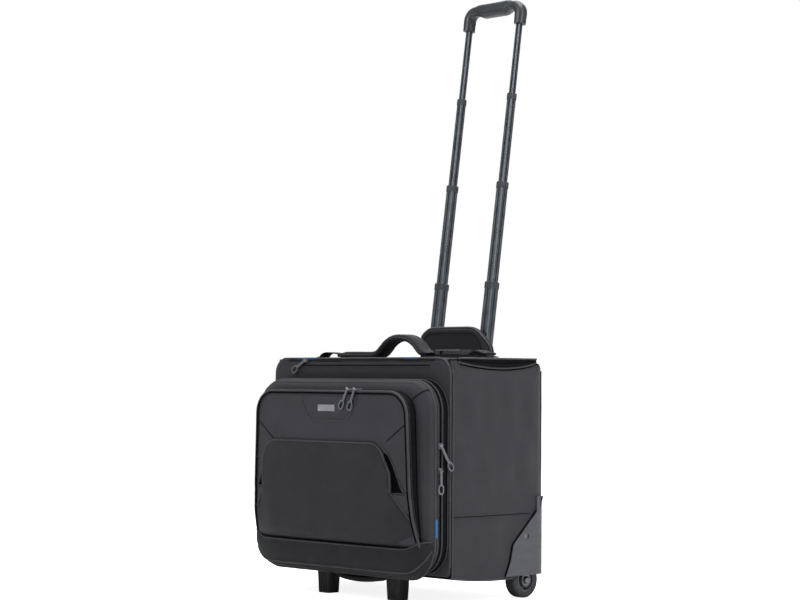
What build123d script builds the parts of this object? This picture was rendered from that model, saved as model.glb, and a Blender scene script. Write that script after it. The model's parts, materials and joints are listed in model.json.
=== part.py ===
"""Rolling laptop case: soft case body with an opening front, lid, wheels and a telescopic handle.

Millimetres. X runs across the case, the front faces -Y, Z is up. The origin is on the ground under
the middle of the whole object with its handle pulled out.
"""

import os
from math import cos, radians, sin

from build123d import *

os.makedirs("parts", exist_ok=True)

# ---------------------------------------------------------------- driving dimensions
CASE_W = 430.0  # case body, side to side
CASE_D = 234.0  # case body, front wall to rear panel
FLOOR_Z = 44.0  # underside of the base board
RIM_Z = 400.0  # top of the case body
REAR_R = 28.0  # rounded upright rear corners
WALL = 4.0  # padded fabric panel

HANDLE_LEAN = 8.27  # the handle leans back, degrees from upright
TUBE_X = 62.0  # half the distance between the two handle tubes
TUBE_OFFSET = 122.3  # tube axis behind the case centre, at RIM_Z
GRIP_BASE_S = 606.0  # underside of the grip's legs, along the tube axis from RIM_Z
GRIP_BAR_TOP_S = 653.0
GRIP_T = 24.0
GRIP_EDGE_R = 4.0

ORGANIZER_D = 48.0  # front wall to organizer face
POCKET_D = 23.0  # organizer face to front pocket face
SLIP_T = 4.0
GAP = 0.5  # air between panels that move apart

LEAN_SIN, LEAN_COS = sin(radians(HANDLE_LEAN)), cos(radians(HANDLE_LEAN))
FRONT_REACH = CASE_D / 2 + ORGANIZER_D + POCKET_D + GAP / 2 + SLIP_T
REAR_REACH = (
    TUBE_OFFSET
    + (GRIP_BAR_TOP_S - GRIP_EDGE_R) * LEAN_SIN
    + (GRIP_T / 2 - GRIP_EDGE_R) * LEAN_COS
    + GRIP_EDGE_R
)
CASE_Y = (FRONT_REACH - REAR_REACH) / 2  # case centre, so that the whole object is centred on the origin

FRONT_Y = CASE_Y - CASE_D / 2
BACK_Y = CASE_Y + CASE_D / 2
HALF_W = CASE_W / 2

# front wall, organizer and front pocket
WALL_BACK_Y = FRONT_Y + WALL
SHELL_T = 2.5  # pocket fabric with its lining
ORGANIZER_W = 424.0
ORGANIZER_Z = (50.0, 364.0)
ORGANIZER_R = 50.0
GUSSET_FRONT_Y = FRONT_Y - 19.5
ZIP_T = 2.5
COVER_BACK_Y = GUSSET_FRONT_Y - ZIP_T - GAP
COVER_EDGE_Y = FRONT_Y - 31.0
COVER_FACE_Y = FRONT_Y - ORGANIZER_D
COVER_TAPER = 55.0
POCKET_Z = (94.0, 345.0)
POCKET_TOP_HALF_W = 184.0
POCKET_FOOT_HALF_W = 203.0
POCKET_R = 38.0
POCKET_FOOT_D = 13.0  # the pocket's depth where it meets the bottom band
POCKET_BACK_Y = COVER_FACE_Y - GAP
POCKET_EDGE_Y = COVER_FACE_Y - 19.0
POCKET_FACE_Y = COVER_FACE_Y - POCKET_D
SLIP_TOP_Z = 262.0

# lid
LID_Z = (393.0, 402.0)
LID_FRONT_Y = CASE_Y - 96.0
LID_BACK_Y = CASE_Y + 92.0
LID_W = 424.0
STRAP_Y = CASE_Y - 12.0
STRAP_W = 25.0
STRAP_T = 2.0

# wheels
WHEEL_R = 30.0
WHEEL_T = 23.0
WHEEL_X = 191.0
WHEEL_Y = CASE_Y + 80.0
AXLE_R = 4.0
HUB_R = 20.0
BEARING_R = 9.0
BEARING_T = 6.0
RUNNING_GAP = 0.05
BUMPER_T = 3.4
BUMPER_Z = (40.0, 170.0)
RIVET_R = 5.0
SHANK_R = 2.0
RIVET_YZ = (CASE_Y + 64.0, 105.0)

# feet
FOOT_X = 85.0
FOOT_Y = CASE_Y - 106.0

# handle tubes: outside width, and the stretch along the axis from RIM_Z
OUTER_TUBE = {"width": 21.4, "wall": 1.2, "foot": -340.0, "top": -8.0}
STAGES = {
    "4": {"width": 18.2, "wall": 1.1, "foot": -101.0, "top": 126.0},
    "3": {"width": 15.2, "wall": 1.1, "foot": 81.0, "top": 306.0},
    "2": {"width": 12.2, "wall": 1.0, "foot": 261.0, "top": 467.0},
    "1": {"width": 9.4, "wall": 1.0, "foot": 422.0, "top": 612.0},
}
TUBE_EDGE_R = 1.6
COLLAR_H = 12.0
SLIDE_GAP = 0.35

HANDLE = Plane(
    origin=(0, CASE_Y + TUBE_OFFSET, RIM_Z),
    x_dir=(1, 0, 0),
    z_dir=(0, LEAN_SIN, LEAN_COS),
)
FACING = Plane(origin=(0, 0, 0), x_dir=(1, 0, 0), z_dir=(0, -1, 0))  # X across, Z up, normal to the front
SIDES = {"left": -1, "right": 1}


def facing(y):
    """Upright plane across the case at depth y, its normal to the front."""
    return FACING.offset(-y)


def sideways(x, y, z, side=1):
    """Upright plane along the case at a point, its X to the rear and its normal to that side."""
    return Plane(origin=(x, y, z), x_dir=(0, 1, 0), z_dir=(side, 0, 0))


def save(piece, name):
    piece.part.label = name
    export_step(piece.part, f"parts/{name}.step")


# ---------------------------------------------------------------- case body
WELL_X = (168.0, 211.0)  # wheel wells in the rear corners
WELL_Y = (CASE_Y + 43.0, CASE_Y + 113.0)
WELL_TOP_Z = 70.0
BOARD_T = 4.0


def base_board():
    """Stiff board under the case, notched for the wheel wells."""
    clear = WALL + GAP
    with BuildPart() as board:
        with BuildSketch(Plane.XY.offset(FLOOR_Z)):
            with Locations((0, CASE_Y)):
                Rectangle(CASE_W - 2 * clear, CASE_D - 2 * clear)
            for side in SIDES.values():
                with Locations((side * HALF_W, WELL_Y[0])):
                    Rectangle(
                        2 * (HALF_W - WELL_X[0]) + GAP,
                        CASE_D,
                        align=(Align.CENTER, Align.MIN),
                        mode=Mode.SUBTRACT,
                    )
        extrude(amount=BOARD_T)
        with Locations(Plane.XY.offset(FLOOR_Z)):
            with Locations(*[(side * FOOT_X, FOOT_Y + 8) for side in SIDES.values()]):
                Cylinder(SHANK_R + RUNNING_GAP, 3 * BOARD_T, mode=Mode.SUBTRACT)
    return board


def side_panel(side):
    """Side panel that runs round the upright rear corner; its top edge dips under the lid."""
    top_z, lid_end_z, dip_z, corner_z = 397.0, LID_Z[0] - GAP, 385.0, 378.0
    with BuildPart() as panel:
        with BuildSketch(Plane.XY.offset(FLOOR_Z)) as ring:
            with Locations((0, CASE_Y)):
                Rectangle(CASE_W, CASE_D)
            fillet(ring.vertices().group_by(Axis.Y)[-1], REAR_R)
            offset(amount=-WALL, mode=Mode.SUBTRACT)
            with Locations((side * HALF_W, WALL_BACK_Y + GAP)):
                Rectangle(2 * REAR_R, CASE_D, align=(Align.CENTER, Align.MIN), mode=Mode.INTERSECT)
        extrude(amount=top_z - FLOOR_Z)
        with BuildSketch(Plane.YZ):
            with BuildLine():
                Line((LID_FRONT_Y - GAP, top_z + 2), (LID_FRONT_Y - GAP, lid_end_z))
                dip = ThreePointArc(
                    (LID_FRONT_Y - GAP, lid_end_z), (CASE_Y - 2, dip_z), (LID_BACK_Y + GAP, lid_end_z)
                )
                shoulder = TangentArc(dip @ 1, (BACK_Y + 1, corner_z), tangent=(1, 0))
                Polyline(shoulder @ 1, (BACK_Y + 1, top_z + 2), (LID_FRONT_Y - GAP, top_z + 2))
            make_face()
        extrude(amount=CASE_W, both=True, mode=Mode.SUBTRACT)
        with Locations((side * HALF_W, *RIVET_YZ)):
            Cylinder(SHANK_R + RUNNING_GAP, 4 * WALL, rotation=(0, 90, 0), mode=Mode.SUBTRACT)
    return panel


HOUSING_FOOT_Z = 236.0  # where the handle housing leaves the rear panel
HOUSING_HALF_W = 84.0
TUBE_NOTCH_HALF_W = 78.0
TUBE_NOTCH_Z = 248.0
REAR_TOP_Z = 392.0


def rear_panel():
    """Flat rear panel between the rounded corners, open at the top where the handle tubes lean through."""
    with BuildPart() as panel:
        with BuildSketch(facing(BACK_Y)):
            with Locations((0, FLOOR_Z)):
                Rectangle(CASE_W - 2 * REAR_R, REAR_TOP_Z - FLOOR_Z, align=(Align.CENTER, Align.MIN))
            with Locations((0, TUBE_NOTCH_Z)):
                Rectangle(2 * TUBE_NOTCH_HALF_W, CASE_D, align=(Align.CENTER, Align.MIN), mode=Mode.SUBTRACT)
        extrude(amount=WALL)
    return panel


def handle_housing():
    """Padded wedge on the back that covers the upper ends of the outer tubes."""
    top_z = 388.0
    reach = 24.0
    skin = 3.0

    def wedge(half_w, depth, foot_z, mode):
        with BuildSketch(Plane.YZ.offset(-half_w)) as section:
            Polygon((BACK_Y, foot_z), (BACK_Y + depth, top_z), (BACK_Y, top_z), align=None)
        extrude(section.sketch, amount=2 * half_w, mode=mode)

    with BuildPart() as housing:
        wedge(HOUSING_HALF_W, reach, HOUSING_FOOT_Z, Mode.ADD)
        fillet(housing.edges().filter_by(Axis.X).sort_by(Axis.Y)[-1:], 6)
        wedge(HOUSING_HALF_W - skin, reach - skin, HOUSING_FOOT_Z + 2 * skin, Mode.SUBTRACT)
    return housing


DIVIDER_Y = (CASE_Y - 78.0, CASE_Y - 70.0)


DIVIDER_W, DIVIDER_H = 410.0, 332.0


def divider():
    """Padded wall between the laptop compartment and the main compartment."""
    corner_r, edge_r = 20.0, 3.0
    with BuildPart() as wall:
        with BuildSketch(facing(DIVIDER_Y[1])) as outline:
            with Locations((0, FLOOR_Z + BOARD_T + GAP)):
                Rectangle(DIVIDER_W, DIVIDER_H, align=(Align.CENTER, Align.MIN))
            fillet(outline.vertices().group_by(Axis.Y)[-1], corner_r)
        extrude(amount=DIVIDER_Y[1] - DIVIDER_Y[0])
        fillet(wall.faces().sort_by(Axis.Z)[-1].edges().filter_by(Axis.X), edge_r)
    return wall


def back_liner():
    """Inner panel in front of the handle tubes, leaning with them."""
    foot_s, top_s = -353.0, -20.0
    near_y = -15.5  # in front of the tube axis
    thickness, margin = 2.5, 4.0
    with BuildPart() as liner:
        with BuildSketch(HANDLE.offset(foot_s)):
            with Locations((0, near_y)):
                Rectangle(CASE_W - 2 * REAR_R - margin, thickness)
        extrude(amount=top_s - foot_s)
        with Locations(*[(side * WELL_X[1], CASE_Y + 60, FLOOR_Z) for side in SIDES.values()]):
            Box(2 * (WELL_X[1] - WELL_X[0]) + 2, 80, 2 * (WELL_TOP_Z - FLOOR_Z) + 4, mode=Mode.SUBTRACT)
        split(bisect_by=Plane.XY.offset(FLOOR_Z + BOARD_T + GAP), keep=Keep.TOP)
    return liner


STRIP_T = 6.0


def top_strips():
    """Stiffened strips across the top, before and behind the lid; the rear one is notched for the tubes."""
    front = (WALL_BACK_Y + GAP, LID_FRONT_Y - GAP)
    rear = (LID_BACK_Y + GAP, BACK_Y - WALL - GAP)
    with BuildPart() as strips:
        with BuildSketch(Plane.XY.offset(RIM_Z - STRIP_T)):
            with Locations((0, front[0])):
                Rectangle(CASE_W - 2 * WALL - 1, front[1] - front[0], align=(Align.CENTER, Align.MIN))
        extrude(amount=STRIP_T)
        with BuildSketch(Plane.XY.offset(REAR_TOP_Z - STRIP_T)):
            with Locations((0, rear[0])):
                Rectangle(CASE_W - 2 * REAR_R - 2, rear[1] - rear[0], align=(Align.CENTER, Align.MIN))
            with Locations((0, rear[1] - 4)):
                Rectangle(2 * TUBE_NOTCH_HALF_W, CASE_D, align=(Align.CENTER, Align.MIN), mode=Mode.SUBTRACT)
        extrude(amount=STRIP_T)
    return strips


def guard():
    """D-shaped padded shield that wraps round the front of the handle tubes."""
    half_w, foot_z, top_z = 84.0, REAR_TOP_Z + GAP, 457.0
    side_t, front_r, top_r = 8.5, 12.0, 42.0
    front_y, inner_y, back_y = CASE_Y + 102, CASE_Y + 110, CASE_Y + 126
    with BuildPart() as shield:
        with BuildSketch(Plane.XY.offset(foot_z)) as plan:
            with Locations((0, front_y)):
                Rectangle(2 * half_w, back_y - front_y, align=(Align.CENTER, Align.MIN))
            fillet(plan.vertices().group_by(Axis.Y)[0], front_r)
            with Locations((0, inner_y)):
                Rectangle(2 * (half_w - side_t), CASE_D, align=(Align.CENTER, Align.MIN), mode=Mode.SUBTRACT)
        extrude(amount=top_z - foot_z)
        with BuildSketch(facing(back_y + 1)) as face:
            with Locations((0, foot_z)):
                Rectangle(2 * half_w, top_z - foot_z, align=(Align.CENTER, Align.MIN))
            fillet(face.vertices().group_by(Axis.Y)[-1], top_r)
        extrude(amount=back_y - front_y + 2, mode=Mode.INTERSECT)
    return shield


# ---------------------------------------------------------------- wheels, bumpers and feet
def case_plan(grow=0.0):
    """Plan of the case body, drawn in the current sketch, grown or shrunk all round."""
    with Locations((0, CASE_Y)):
        blank = Rectangle(CASE_W + 2 * grow, CASE_D + 2 * grow)
    fillet(blank.vertices().group_by(Axis.Y)[-1], REAR_R + grow)


def corner_bumpers():
    """Moulded skins round the lower rear corners, cut back in a slope on both faces."""
    low_z, high_z = BUMPER_Z
    back = CASE_Y + 150.0
    with BuildPart() as bumpers:
        for side in SIDES.values():
            with BuildSketch(Plane.YZ.offset(side * (HALF_W - REAR_R))):
                Polygon(
                    (CASE_Y + 14, low_z),
                    (CASE_Y + 25, 64),
                    (CASE_Y + 32, 92),
                    (CASE_Y + 100, 155),
                    (CASE_Y + 106, high_z),
                    (back, high_z),
                    (back, low_z),
                    align=None,
                )
            extrude(amount=side * 2 * REAR_R)
            with BuildSketch(facing(back)):
                Polygon(
                    (side * 134, low_z),
                    (side * 134, 82),
                    (side * 196, 155),
                    (side * 200, high_z),
                    (side * 230, high_z),
                    (side * 230, low_z),
                    align=None,
                )
            extrude(amount=back - CASE_Y - CASE_D / 2 + REAR_R)
        with BuildSketch(Plane.XY.offset(low_z)):
            case_plan(BUMPER_T)
            with BuildSketch(mode=Mode.PRIVATE) as inner:
                case_plan()
            add(inner.sketch, mode=Mode.SUBTRACT)
        extrude(amount=high_z - low_z, mode=Mode.INTERSECT)
        for side in SIDES.values():
            with Locations((side * HALF_W, *RIVET_YZ)):
                Cylinder(RIVET_R + GAP / 2, 4 * BUMPER_T, rotation=(0, 90, 0), mode=Mode.SUBTRACT)
    return bumpers


WHEEL_CLEAR = 3.0


def wheel_wells():
    """Boxes over the wheels: a roof, an arch round the tyre and an inner leg that carries the axle."""
    inner_x = WHEEL_X - WHEEL_T / 2 - 1.5
    leg_foot_z = WHEEL_R - 12
    well_l = WELL_Y[1] - WELL_Y[0] - 2 * GAP
    with BuildPart() as wells:
        for side in SIDES.values():
            with BuildSketch(Plane.YZ.offset(side * WELL_X[0])):
                with Locations(((WELL_Y[0] + WELL_Y[1]) / 2, FLOOR_Z)):
                    Rectangle(well_l, WELL_TOP_Z - FLOOR_Z, align=(Align.CENTER, Align.MIN))
            extrude(amount=side * (WELL_X[1] - WELL_X[0] - GAP))
            with BuildSketch(Plane.YZ.offset(side * inner_x)):
                with Locations((WHEEL_Y, WHEEL_R)):
                    Circle(WHEEL_R + WHEEL_CLEAR)
            extrude(amount=side * (WELL_X[1] - inner_x), mode=Mode.SUBTRACT)
            with BuildSketch(Plane.YZ.offset(side * WELL_X[0])):
                Polygon(
                    (WHEEL_Y - 20, FLOOR_Z + 2),
                    (WHEEL_Y - 10, leg_foot_z),
                    (WHEEL_Y + 10, leg_foot_z),
                    (WHEEL_Y + 20, FLOOR_Z + 2),
                    align=None,
                )
            extrude(amount=side * (inner_x - WELL_X[0]))
            with Locations((side * (WELL_X[0] + inner_x) / 2, WHEEL_Y, WHEEL_R)):
                Cylinder(AXLE_R, 4 * WALL, rotation=(0, 90, 0), mode=Mode.SUBTRACT)
        with BuildSketch():
            case_plan(-WALL - GAP)
        extrude(amount=2 * WELL_TOP_Z, mode=Mode.INTERSECT)
    return wells


def wheel_axles():
    """Two stub axles, each with a domed head outside its wheel."""
    head_x = WHEEL_X + WHEEL_T / 2 + 0.6
    head_r, head_t = 6.5, 4.0
    with BuildPart() as axles:
        for side in SIDES.values():
            with BuildSketch(sideways(side * WELL_X[0], WHEEL_Y, WHEEL_R, side)):
                Circle(AXLE_R)
            extrude(amount=head_x - WELL_X[0])
            with BuildSketch(sideways(side * head_x, WHEEL_Y, WHEEL_R, side)):
                Circle(head_r)
            extrude(amount=head_t)
        ends = axles.faces().filter_by(Axis.X).sort_by(Axis.X)
        fillet((ends[0] + ends[-1]).edges(), head_t - 0.4)
    return axles


def wheel_section(side):
    """Plane through the wheel's axis, its X along the axis and its Y up."""
    return Plane(origin=(side * WHEEL_X, WHEEL_Y, WHEEL_R), x_dir=(1, 0, 0), z_dir=(0, -1, 0))


def tyre(side):
    """Solid rubber tyre with rounded shoulders."""
    with BuildPart() as ring:
        with BuildSketch(wheel_section(side)) as profile:
            with Locations((0, (HUB_R + WHEEL_R) / 2)):
                Rectangle(WHEEL_T, WHEEL_R - HUB_R)
            fillet(profile.vertices().group_by(Axis.Y)[-1], 5)
        revolve(axis=Axis((0, WHEEL_Y, WHEEL_R), (1, 0, 0)))
    return ring


def hub(side):
    """Wheel hub: rim, web with five windows, and a barrel with a bearing seat at each end."""
    barrel_r = BEARING_R + 2.5
    web_t = 8.0
    window_r = 2.3
    with BuildPart() as body:
        with BuildSketch(wheel_section(side)):
            with Locations((0, HUB_R - 1.5)):
                Rectangle(WHEEL_T - 2, 3)
            with Locations((0, HUB_R / 2 + 2)):
                Rectangle(web_t, HUB_R - 6)
            with Locations((0, barrel_r / 2 + 2.6)):
                Rectangle(WHEEL_T, barrel_r - 5.2)
        revolve(axis=Axis((0, WHEEL_Y, WHEEL_R), (1, 0, 0)))
        axis_plane = sideways(side * WHEEL_X, WHEEL_Y, WHEEL_R)
        with BuildSketch(axis_plane):
            with PolarLocations((barrel_r + HUB_R - 3) / 2, 5):
                Circle(window_r)
        extrude(amount=WHEEL_T, both=True, mode=Mode.SUBTRACT)
        for end in (-1, 1):
            with BuildSketch(axis_plane.offset(end * (WHEEL_T / 2 - BEARING_T))):
                Circle(BEARING_R)
            extrude(amount=end * 2 * BEARING_T, mode=Mode.SUBTRACT)
    return body


def bearings(side):
    """Two sleeve bearings in the hub, running on the axle."""
    with BuildPart() as pair:
        for end in (-1, 1):
            inner_face = end * (WHEEL_T / 2 - BEARING_T)
            with BuildSketch(sideways(side * WHEEL_X + inner_face, WHEEL_Y, WHEEL_R)):
                Circle(BEARING_R)
                Circle(AXLE_R + RUNNING_GAP, mode=Mode.SUBTRACT)
            extrude(amount=end * BEARING_T)
    return pair


def feet():
    """Two tapered standing feet under the front edge, each with a screw hole."""
    top, sole = (32.0, 30.0), (28.0, 26.0)
    with BuildPart() as pair:
        for side in SIDES.values():
            with BuildSketch(Plane(origin=(side * FOOT_X, FOOT_Y, 0))):
                RectangleRounded(*sole, 5)
            with BuildSketch(Plane(origin=(side * FOOT_X, FOOT_Y, FLOOR_Z))):
                RectangleRounded(*top, 5)
            loft()
            with Locations((side * FOOT_X, FOOT_Y + 8, FLOOR_Z)):
                Cylinder(SHANK_R + RUNNING_GAP, 30, mode=Mode.SUBTRACT)
    return pair


def screws():
    """Identical round-head screws: one through each bumper, one down into each foot."""
    head_t, length = 1.8, 13.0

    def screw(plane):
        with BuildSketch(plane) as head:
            Circle(RIVET_R)
        extrude(head.sketch, amount=head_t)
        with BuildSketch(plane) as shank:
            Circle(SHANK_R)
        extrude(shank.sketch, amount=-length)

    with BuildPart() as group:
        for side in SIDES.values():
            screw(Plane(origin=(side * HALF_W, *RIVET_YZ), x_dir=(0, 1, 0), z_dir=(side, 0, 0)))
            screw(Plane(origin=(side * FOOT_X, FOOT_Y + 8, FLOOR_Z + BOARD_T)))
    return group


def bottom_grab_handle():
    """Curved strap between the feet, for lifting the case by its base."""
    half_w, sag_z, thickness, width = 62.0, 25.0, 6.0, 26.0
    root_w = 11.0
    with BuildPart() as strap:
        with BuildSketch(facing(FOOT_Y + width / 2)):
            with BuildLine():
                lower = ThreePointArc((-half_w, FLOOR_Z), (0, sag_z), (half_w, FLOOR_Z))
                rise = Line(lower @ 1, (half_w - root_w, FLOOR_Z))
                upper = ThreePointArc(rise @ 1, (0, sag_z + thickness), (root_w - half_w, FLOOR_Z))
                Line(upper @ 1, lower @ 0)
            make_face()
        extrude(amount=width)
    return strap


# ---------------------------------------------------------------- opening front
def front_wall():
    """Front of the laptop compartment, hinged along its foot."""
    with BuildPart() as wall:
        with BuildSketch(facing(WALL_BACK_Y)) as outline:
            with Locations((0, FLOOR_Z + 2)):
                Rectangle(CASE_W, RIM_Z - FLOOR_Z - 2, align=(Align.CENTER, Align.MIN))
            fillet(outline.vertices().group_by(Axis.Y)[-1], 24)
            fillet(outline.vertices().group_by(Axis.Y)[0], 8)
        extrude(amount=WALL)
    return wall


ZIP_Z = RIM_Z - 3.5
LAPTOP_SLIDER_X = -133.0


TAPE_T, TEETH_T = 1.0, 0.8


def laptop_zip():
    """Zip tape with its teeth along the top of the front wall."""
    half_w, tape_h, teeth_h = 180.0, 5.0, 2.0
    with BuildPart() as tape:
        with BuildSketch(facing(FRONT_Y)):
            with Locations((0, ZIP_Z)):
                Rectangle(2 * half_w, tape_h)
        extrude(amount=TAPE_T)
        with BuildSketch(facing(FRONT_Y - TAPE_T)):
            with Locations((0, ZIP_Z)):
                Rectangle(2 * half_w, teeth_h)
        extrude(amount=TEETH_T)
    return tape


def zip_end_tabs():
    """Coloured tabs that close the ends of the laptop zip."""
    tab_x, tab_w, tab_h, tab_t = 186.0, 11.0, 7.0, 2.0
    with BuildPart() as tabs:
        with BuildSketch(facing(FRONT_Y)):
            with Locations(*[(side * tab_x, ZIP_Z) for side in SIDES.values()]):
                Rectangle(tab_w, tab_h)
        extrude(amount=tab_t)
    return tabs


def organizer_outline(inset=0.0):
    """Front outline of the organizer, drawn in the current sketch."""
    low, high = ORGANIZER_Z
    with Locations((0, (low + high) / 2)):
        RectangleRounded(ORGANIZER_W - 2 * inset, high - low - 2 * inset, ORGANIZER_R - inset)


def organizer_gusset():
    """Side band of the organizer, fixed to the front wall."""
    with BuildPart() as gusset:
        with BuildSketch(facing(FRONT_Y)):
            organizer_outline(0.5)
            with BuildSketch(facing(FRONT_Y), mode=Mode.PRIVATE) as hollow:
                organizer_outline(0.5 + SHELL_T)
            add(hollow.sketch, mode=Mode.SUBTRACT)
        extrude(amount=FRONT_Y - GUSSET_FRONT_Y)
    return gusset


def organizer_zip():
    """Zip tape round the organizer's gusset."""
    with BuildPart() as tape:
        with BuildSketch(facing(GUSSET_FRONT_Y)):
            organizer_outline(0)
            with BuildSketch(facing(GUSSET_FRONT_Y), mode=Mode.PRIVATE) as hollow:
                organizer_outline(5)
            add(hollow.sketch, mode=Mode.SUBTRACT)
        extrude(amount=ZIP_T)
    return tape


def organizer_cover():
    """Opening half of the organizer: a shallow crowned tray with its back open."""
    with BuildPart() as cover:
        with BuildSketch(facing(COVER_BACK_Y)):
            organizer_outline()
        extrude(amount=COVER_BACK_Y - COVER_EDGE_Y)
        with BuildSketch(facing(COVER_EDGE_Y)):
            organizer_outline()
        extrude(amount=COVER_EDGE_Y - COVER_FACE_Y, taper=COVER_TAPER)
        with BuildSketch(facing(COVER_BACK_Y)):
            organizer_outline(SHELL_T)
        extrude(amount=COVER_BACK_Y - COVER_EDGE_Y, mode=Mode.SUBTRACT)
        with BuildSketch(facing(COVER_EDGE_Y)):
            organizer_outline(SHELL_T)
        extrude(amount=COVER_EDGE_Y - COVER_FACE_Y - SHELL_T, taper=COVER_TAPER, mode=Mode.SUBTRACT)
    return cover


def bottom_band():
    """Abrasion band along the foot of the organizer: a bulge with bevelled ends."""
    half_w, top_z = 166.0, POCKET_Z[0] - 1
    with BuildPart() as band:
        with BuildSketch(Plane.YZ.offset(-half_w)):
            Polygon(
                (COVER_FACE_Y, top_z),
                (COVER_FACE_Y - POCKET_FOOT_D, top_z),
                (COVER_FACE_Y - POCKET_FOOT_D + 1, 75),
                (COVER_FACE_Y, 57),
                (COVER_EDGE_Y - 7.2, 59),
                (COVER_FACE_Y, 73.6),
                align=None,
            )
        extrude(amount=2 * half_w)
    return band


def side_tag():
    """Small coloured fabric tag sewn into the organizer's right edge."""
    tag_z, size = 126.0, (2.0, 6.0, 30.0)
    with BuildPart() as tag:
        with Locations((ORGANIZER_W / 2 + size[0] / 2 + 0.2, COVER_EDGE_Y + size[1] / 2, tag_z)):
            Box(*size)
    return tag


def pocket_outline(inset=0.0):
    """Front outline of the front pocket: wider at its foot, rounded at the top."""
    foot_z, top_z = POCKET_Z[0] + inset, POCKET_Z[1] - inset
    foot, top = POCKET_FOOT_HALF_W - inset, POCKET_TOP_HALF_W - inset
    flare_z = 160.0
    flare = POCKET_TOP_HALF_W + 8 - inset
    blank = Polygon(
        (-foot, foot_z),
        (foot, foot_z),
        (flare, flare_z),
        (top, top_z),
        (-top, top_z),
        (-flare, flare_z),
        align=None,
    )
    fillet(blank.vertices().group_by(Axis.Y)[-1], POCKET_R - inset)


def pocket_side_profile(inset=0.0):
    """Side outline of the front pocket: full depth above, thinning out to the foot."""
    Polygon(
        (POCKET_BACK_Y + 1, POCKET_Z[0] - 1),
        (POCKET_BACK_Y + 1, POCKET_Z[1] + 1),
        (POCKET_FACE_Y + inset, POCKET_Z[1] + 1),
        (POCKET_FACE_Y + inset, 150),
        (COVER_FACE_Y - POCKET_FOOT_D + inset, POCKET_Z[0] - 1),
        align=None,
    )


def front_pocket_cover():
    """Opening front of the front pocket: a crowned tray with its back open."""
    crown_taper = 50.0

    def tray(inset):
        with BuildSketch(facing(POCKET_BACK_Y)) as band:
            pocket_outline(inset)
        extrude(band.sketch, amount=POCKET_BACK_Y - POCKET_EDGE_Y)
        with BuildSketch(facing(POCKET_EDGE_Y)) as crown:
            pocket_outline(inset)
        extrude(crown.sketch, amount=POCKET_EDGE_Y - POCKET_FACE_Y - inset, taper=crown_taper)
        with BuildSketch(Plane.YZ.offset(-HALF_W)) as profile:
            pocket_side_profile(inset)
        extrude(profile.sketch, amount=CASE_W, mode=Mode.INTERSECT)

    with BuildPart() as hollow:
        tray(SHELL_T)
    with BuildPart() as cover:
        tray(0.0)
        add(hollow.part, mode=Mode.SUBTRACT)
    return cover


def slip_pocket():
    """Flat open pocket on the front pocket's face, rounded at the top and waisted at its open sides."""
    half_w, foot_z, waist_z = 160.0, 156.0, 186.0
    with BuildPart() as panel:
        with BuildSketch(facing(POCKET_FACE_Y - GAP / 2)) as outline:
            with BuildLine():
                Polyline(
                    (-half_w, foot_z),
                    (-half_w + 10, waist_z),
                    (-half_w + 6, SLIP_TOP_Z),
                    (half_w - 6, SLIP_TOP_Z),
                    (half_w - 10, waist_z),
                    (half_w, foot_z),
                    close=True,
                )
            made = make_face()
            fillet(made.vertices().group_by(Axis.Y)[-1], 34)
        extrude(amount=SLIP_T)
        fillet(panel.faces().sort_by(Axis.Y)[0].edges(), 1.5)
    return panel


BADGE_AT = (-4.0, 317.0)  # across, height
BADGE_SIZE = (41.0, 11.0)
BADGE_T = 1.1  # thinner than the room behind the pulls that hang over it


def badge_plate():
    """Blank metal plate on the front pocket."""
    corner_r, edge = 1.5, 0.4
    with BuildPart() as plate:
        with BuildSketch(facing(POCKET_FACE_Y)):
            with Locations(BADGE_AT):
                RectangleRounded(*BADGE_SIZE, corner_r)
        extrude(amount=BADGE_T)
        chamfer(plate.faces().sort_by(Axis.Y)[0].edges(), edge)
    return plate


POCKET_ZIP_Y = POCKET_EDGE_Y + 3.0
POCKET_TEETH_Z = POCKET_Z[1] + 1.6


def pocket_zip():
    """Zip tape on top of the front pocket."""
    half_w, tape_w, teeth_w = POCKET_TOP_HALF_W - POCKET_R, 6.0, 2.4
    with BuildPart() as tape:
        with BuildSketch(Plane.XY.offset(POCKET_Z[1])):
            with Locations((0, POCKET_ZIP_Y)):
                Rectangle(2 * half_w, tape_w)
        extrude(amount=TAPE_T)
        with BuildSketch(Plane.XY.offset(POCKET_Z[1] + TAPE_T)):
            with Locations((0, POCKET_ZIP_Y)):
                Rectangle(2 * half_w, teeth_w)
        extrude(amount=POCKET_TEETH_Z - POCKET_Z[1] - TAPE_T)
    return tape


# ---------------------------------------------------------------- zip sliders and pulls
# Each slider holds its pull on a pin. A pin plane has its origin in the middle of the pin, its X along the
# pin and its normal away from the bag, so that the pull hangs along its -Y.
PIN_R = 0.8
BARREL_R = 1.7
EAR_X = (2.7, 3.7)
PULL_T = 2.0
RING_W, RING_H = 12.0, 17.0


def hanging_plane(origin, outward, swing):
    """Pin plane at a point, its normal outward, turned in the bag's face by swing degrees."""
    up = Vector(0, 0, 1)
    along_pin = up.cross(Vector(*outward)) * cos(radians(swing)) + up * sin(radians(swing))
    return Plane(origin=origin, x_dir=along_pin, z_dir=outward)


def across_pin(pin_plane):
    """Plane square to the pin, through its middle."""
    return Plane(origin=pin_plane.origin, x_dir=pin_plane.z_dir, z_dir=pin_plane.x_dir)


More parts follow.
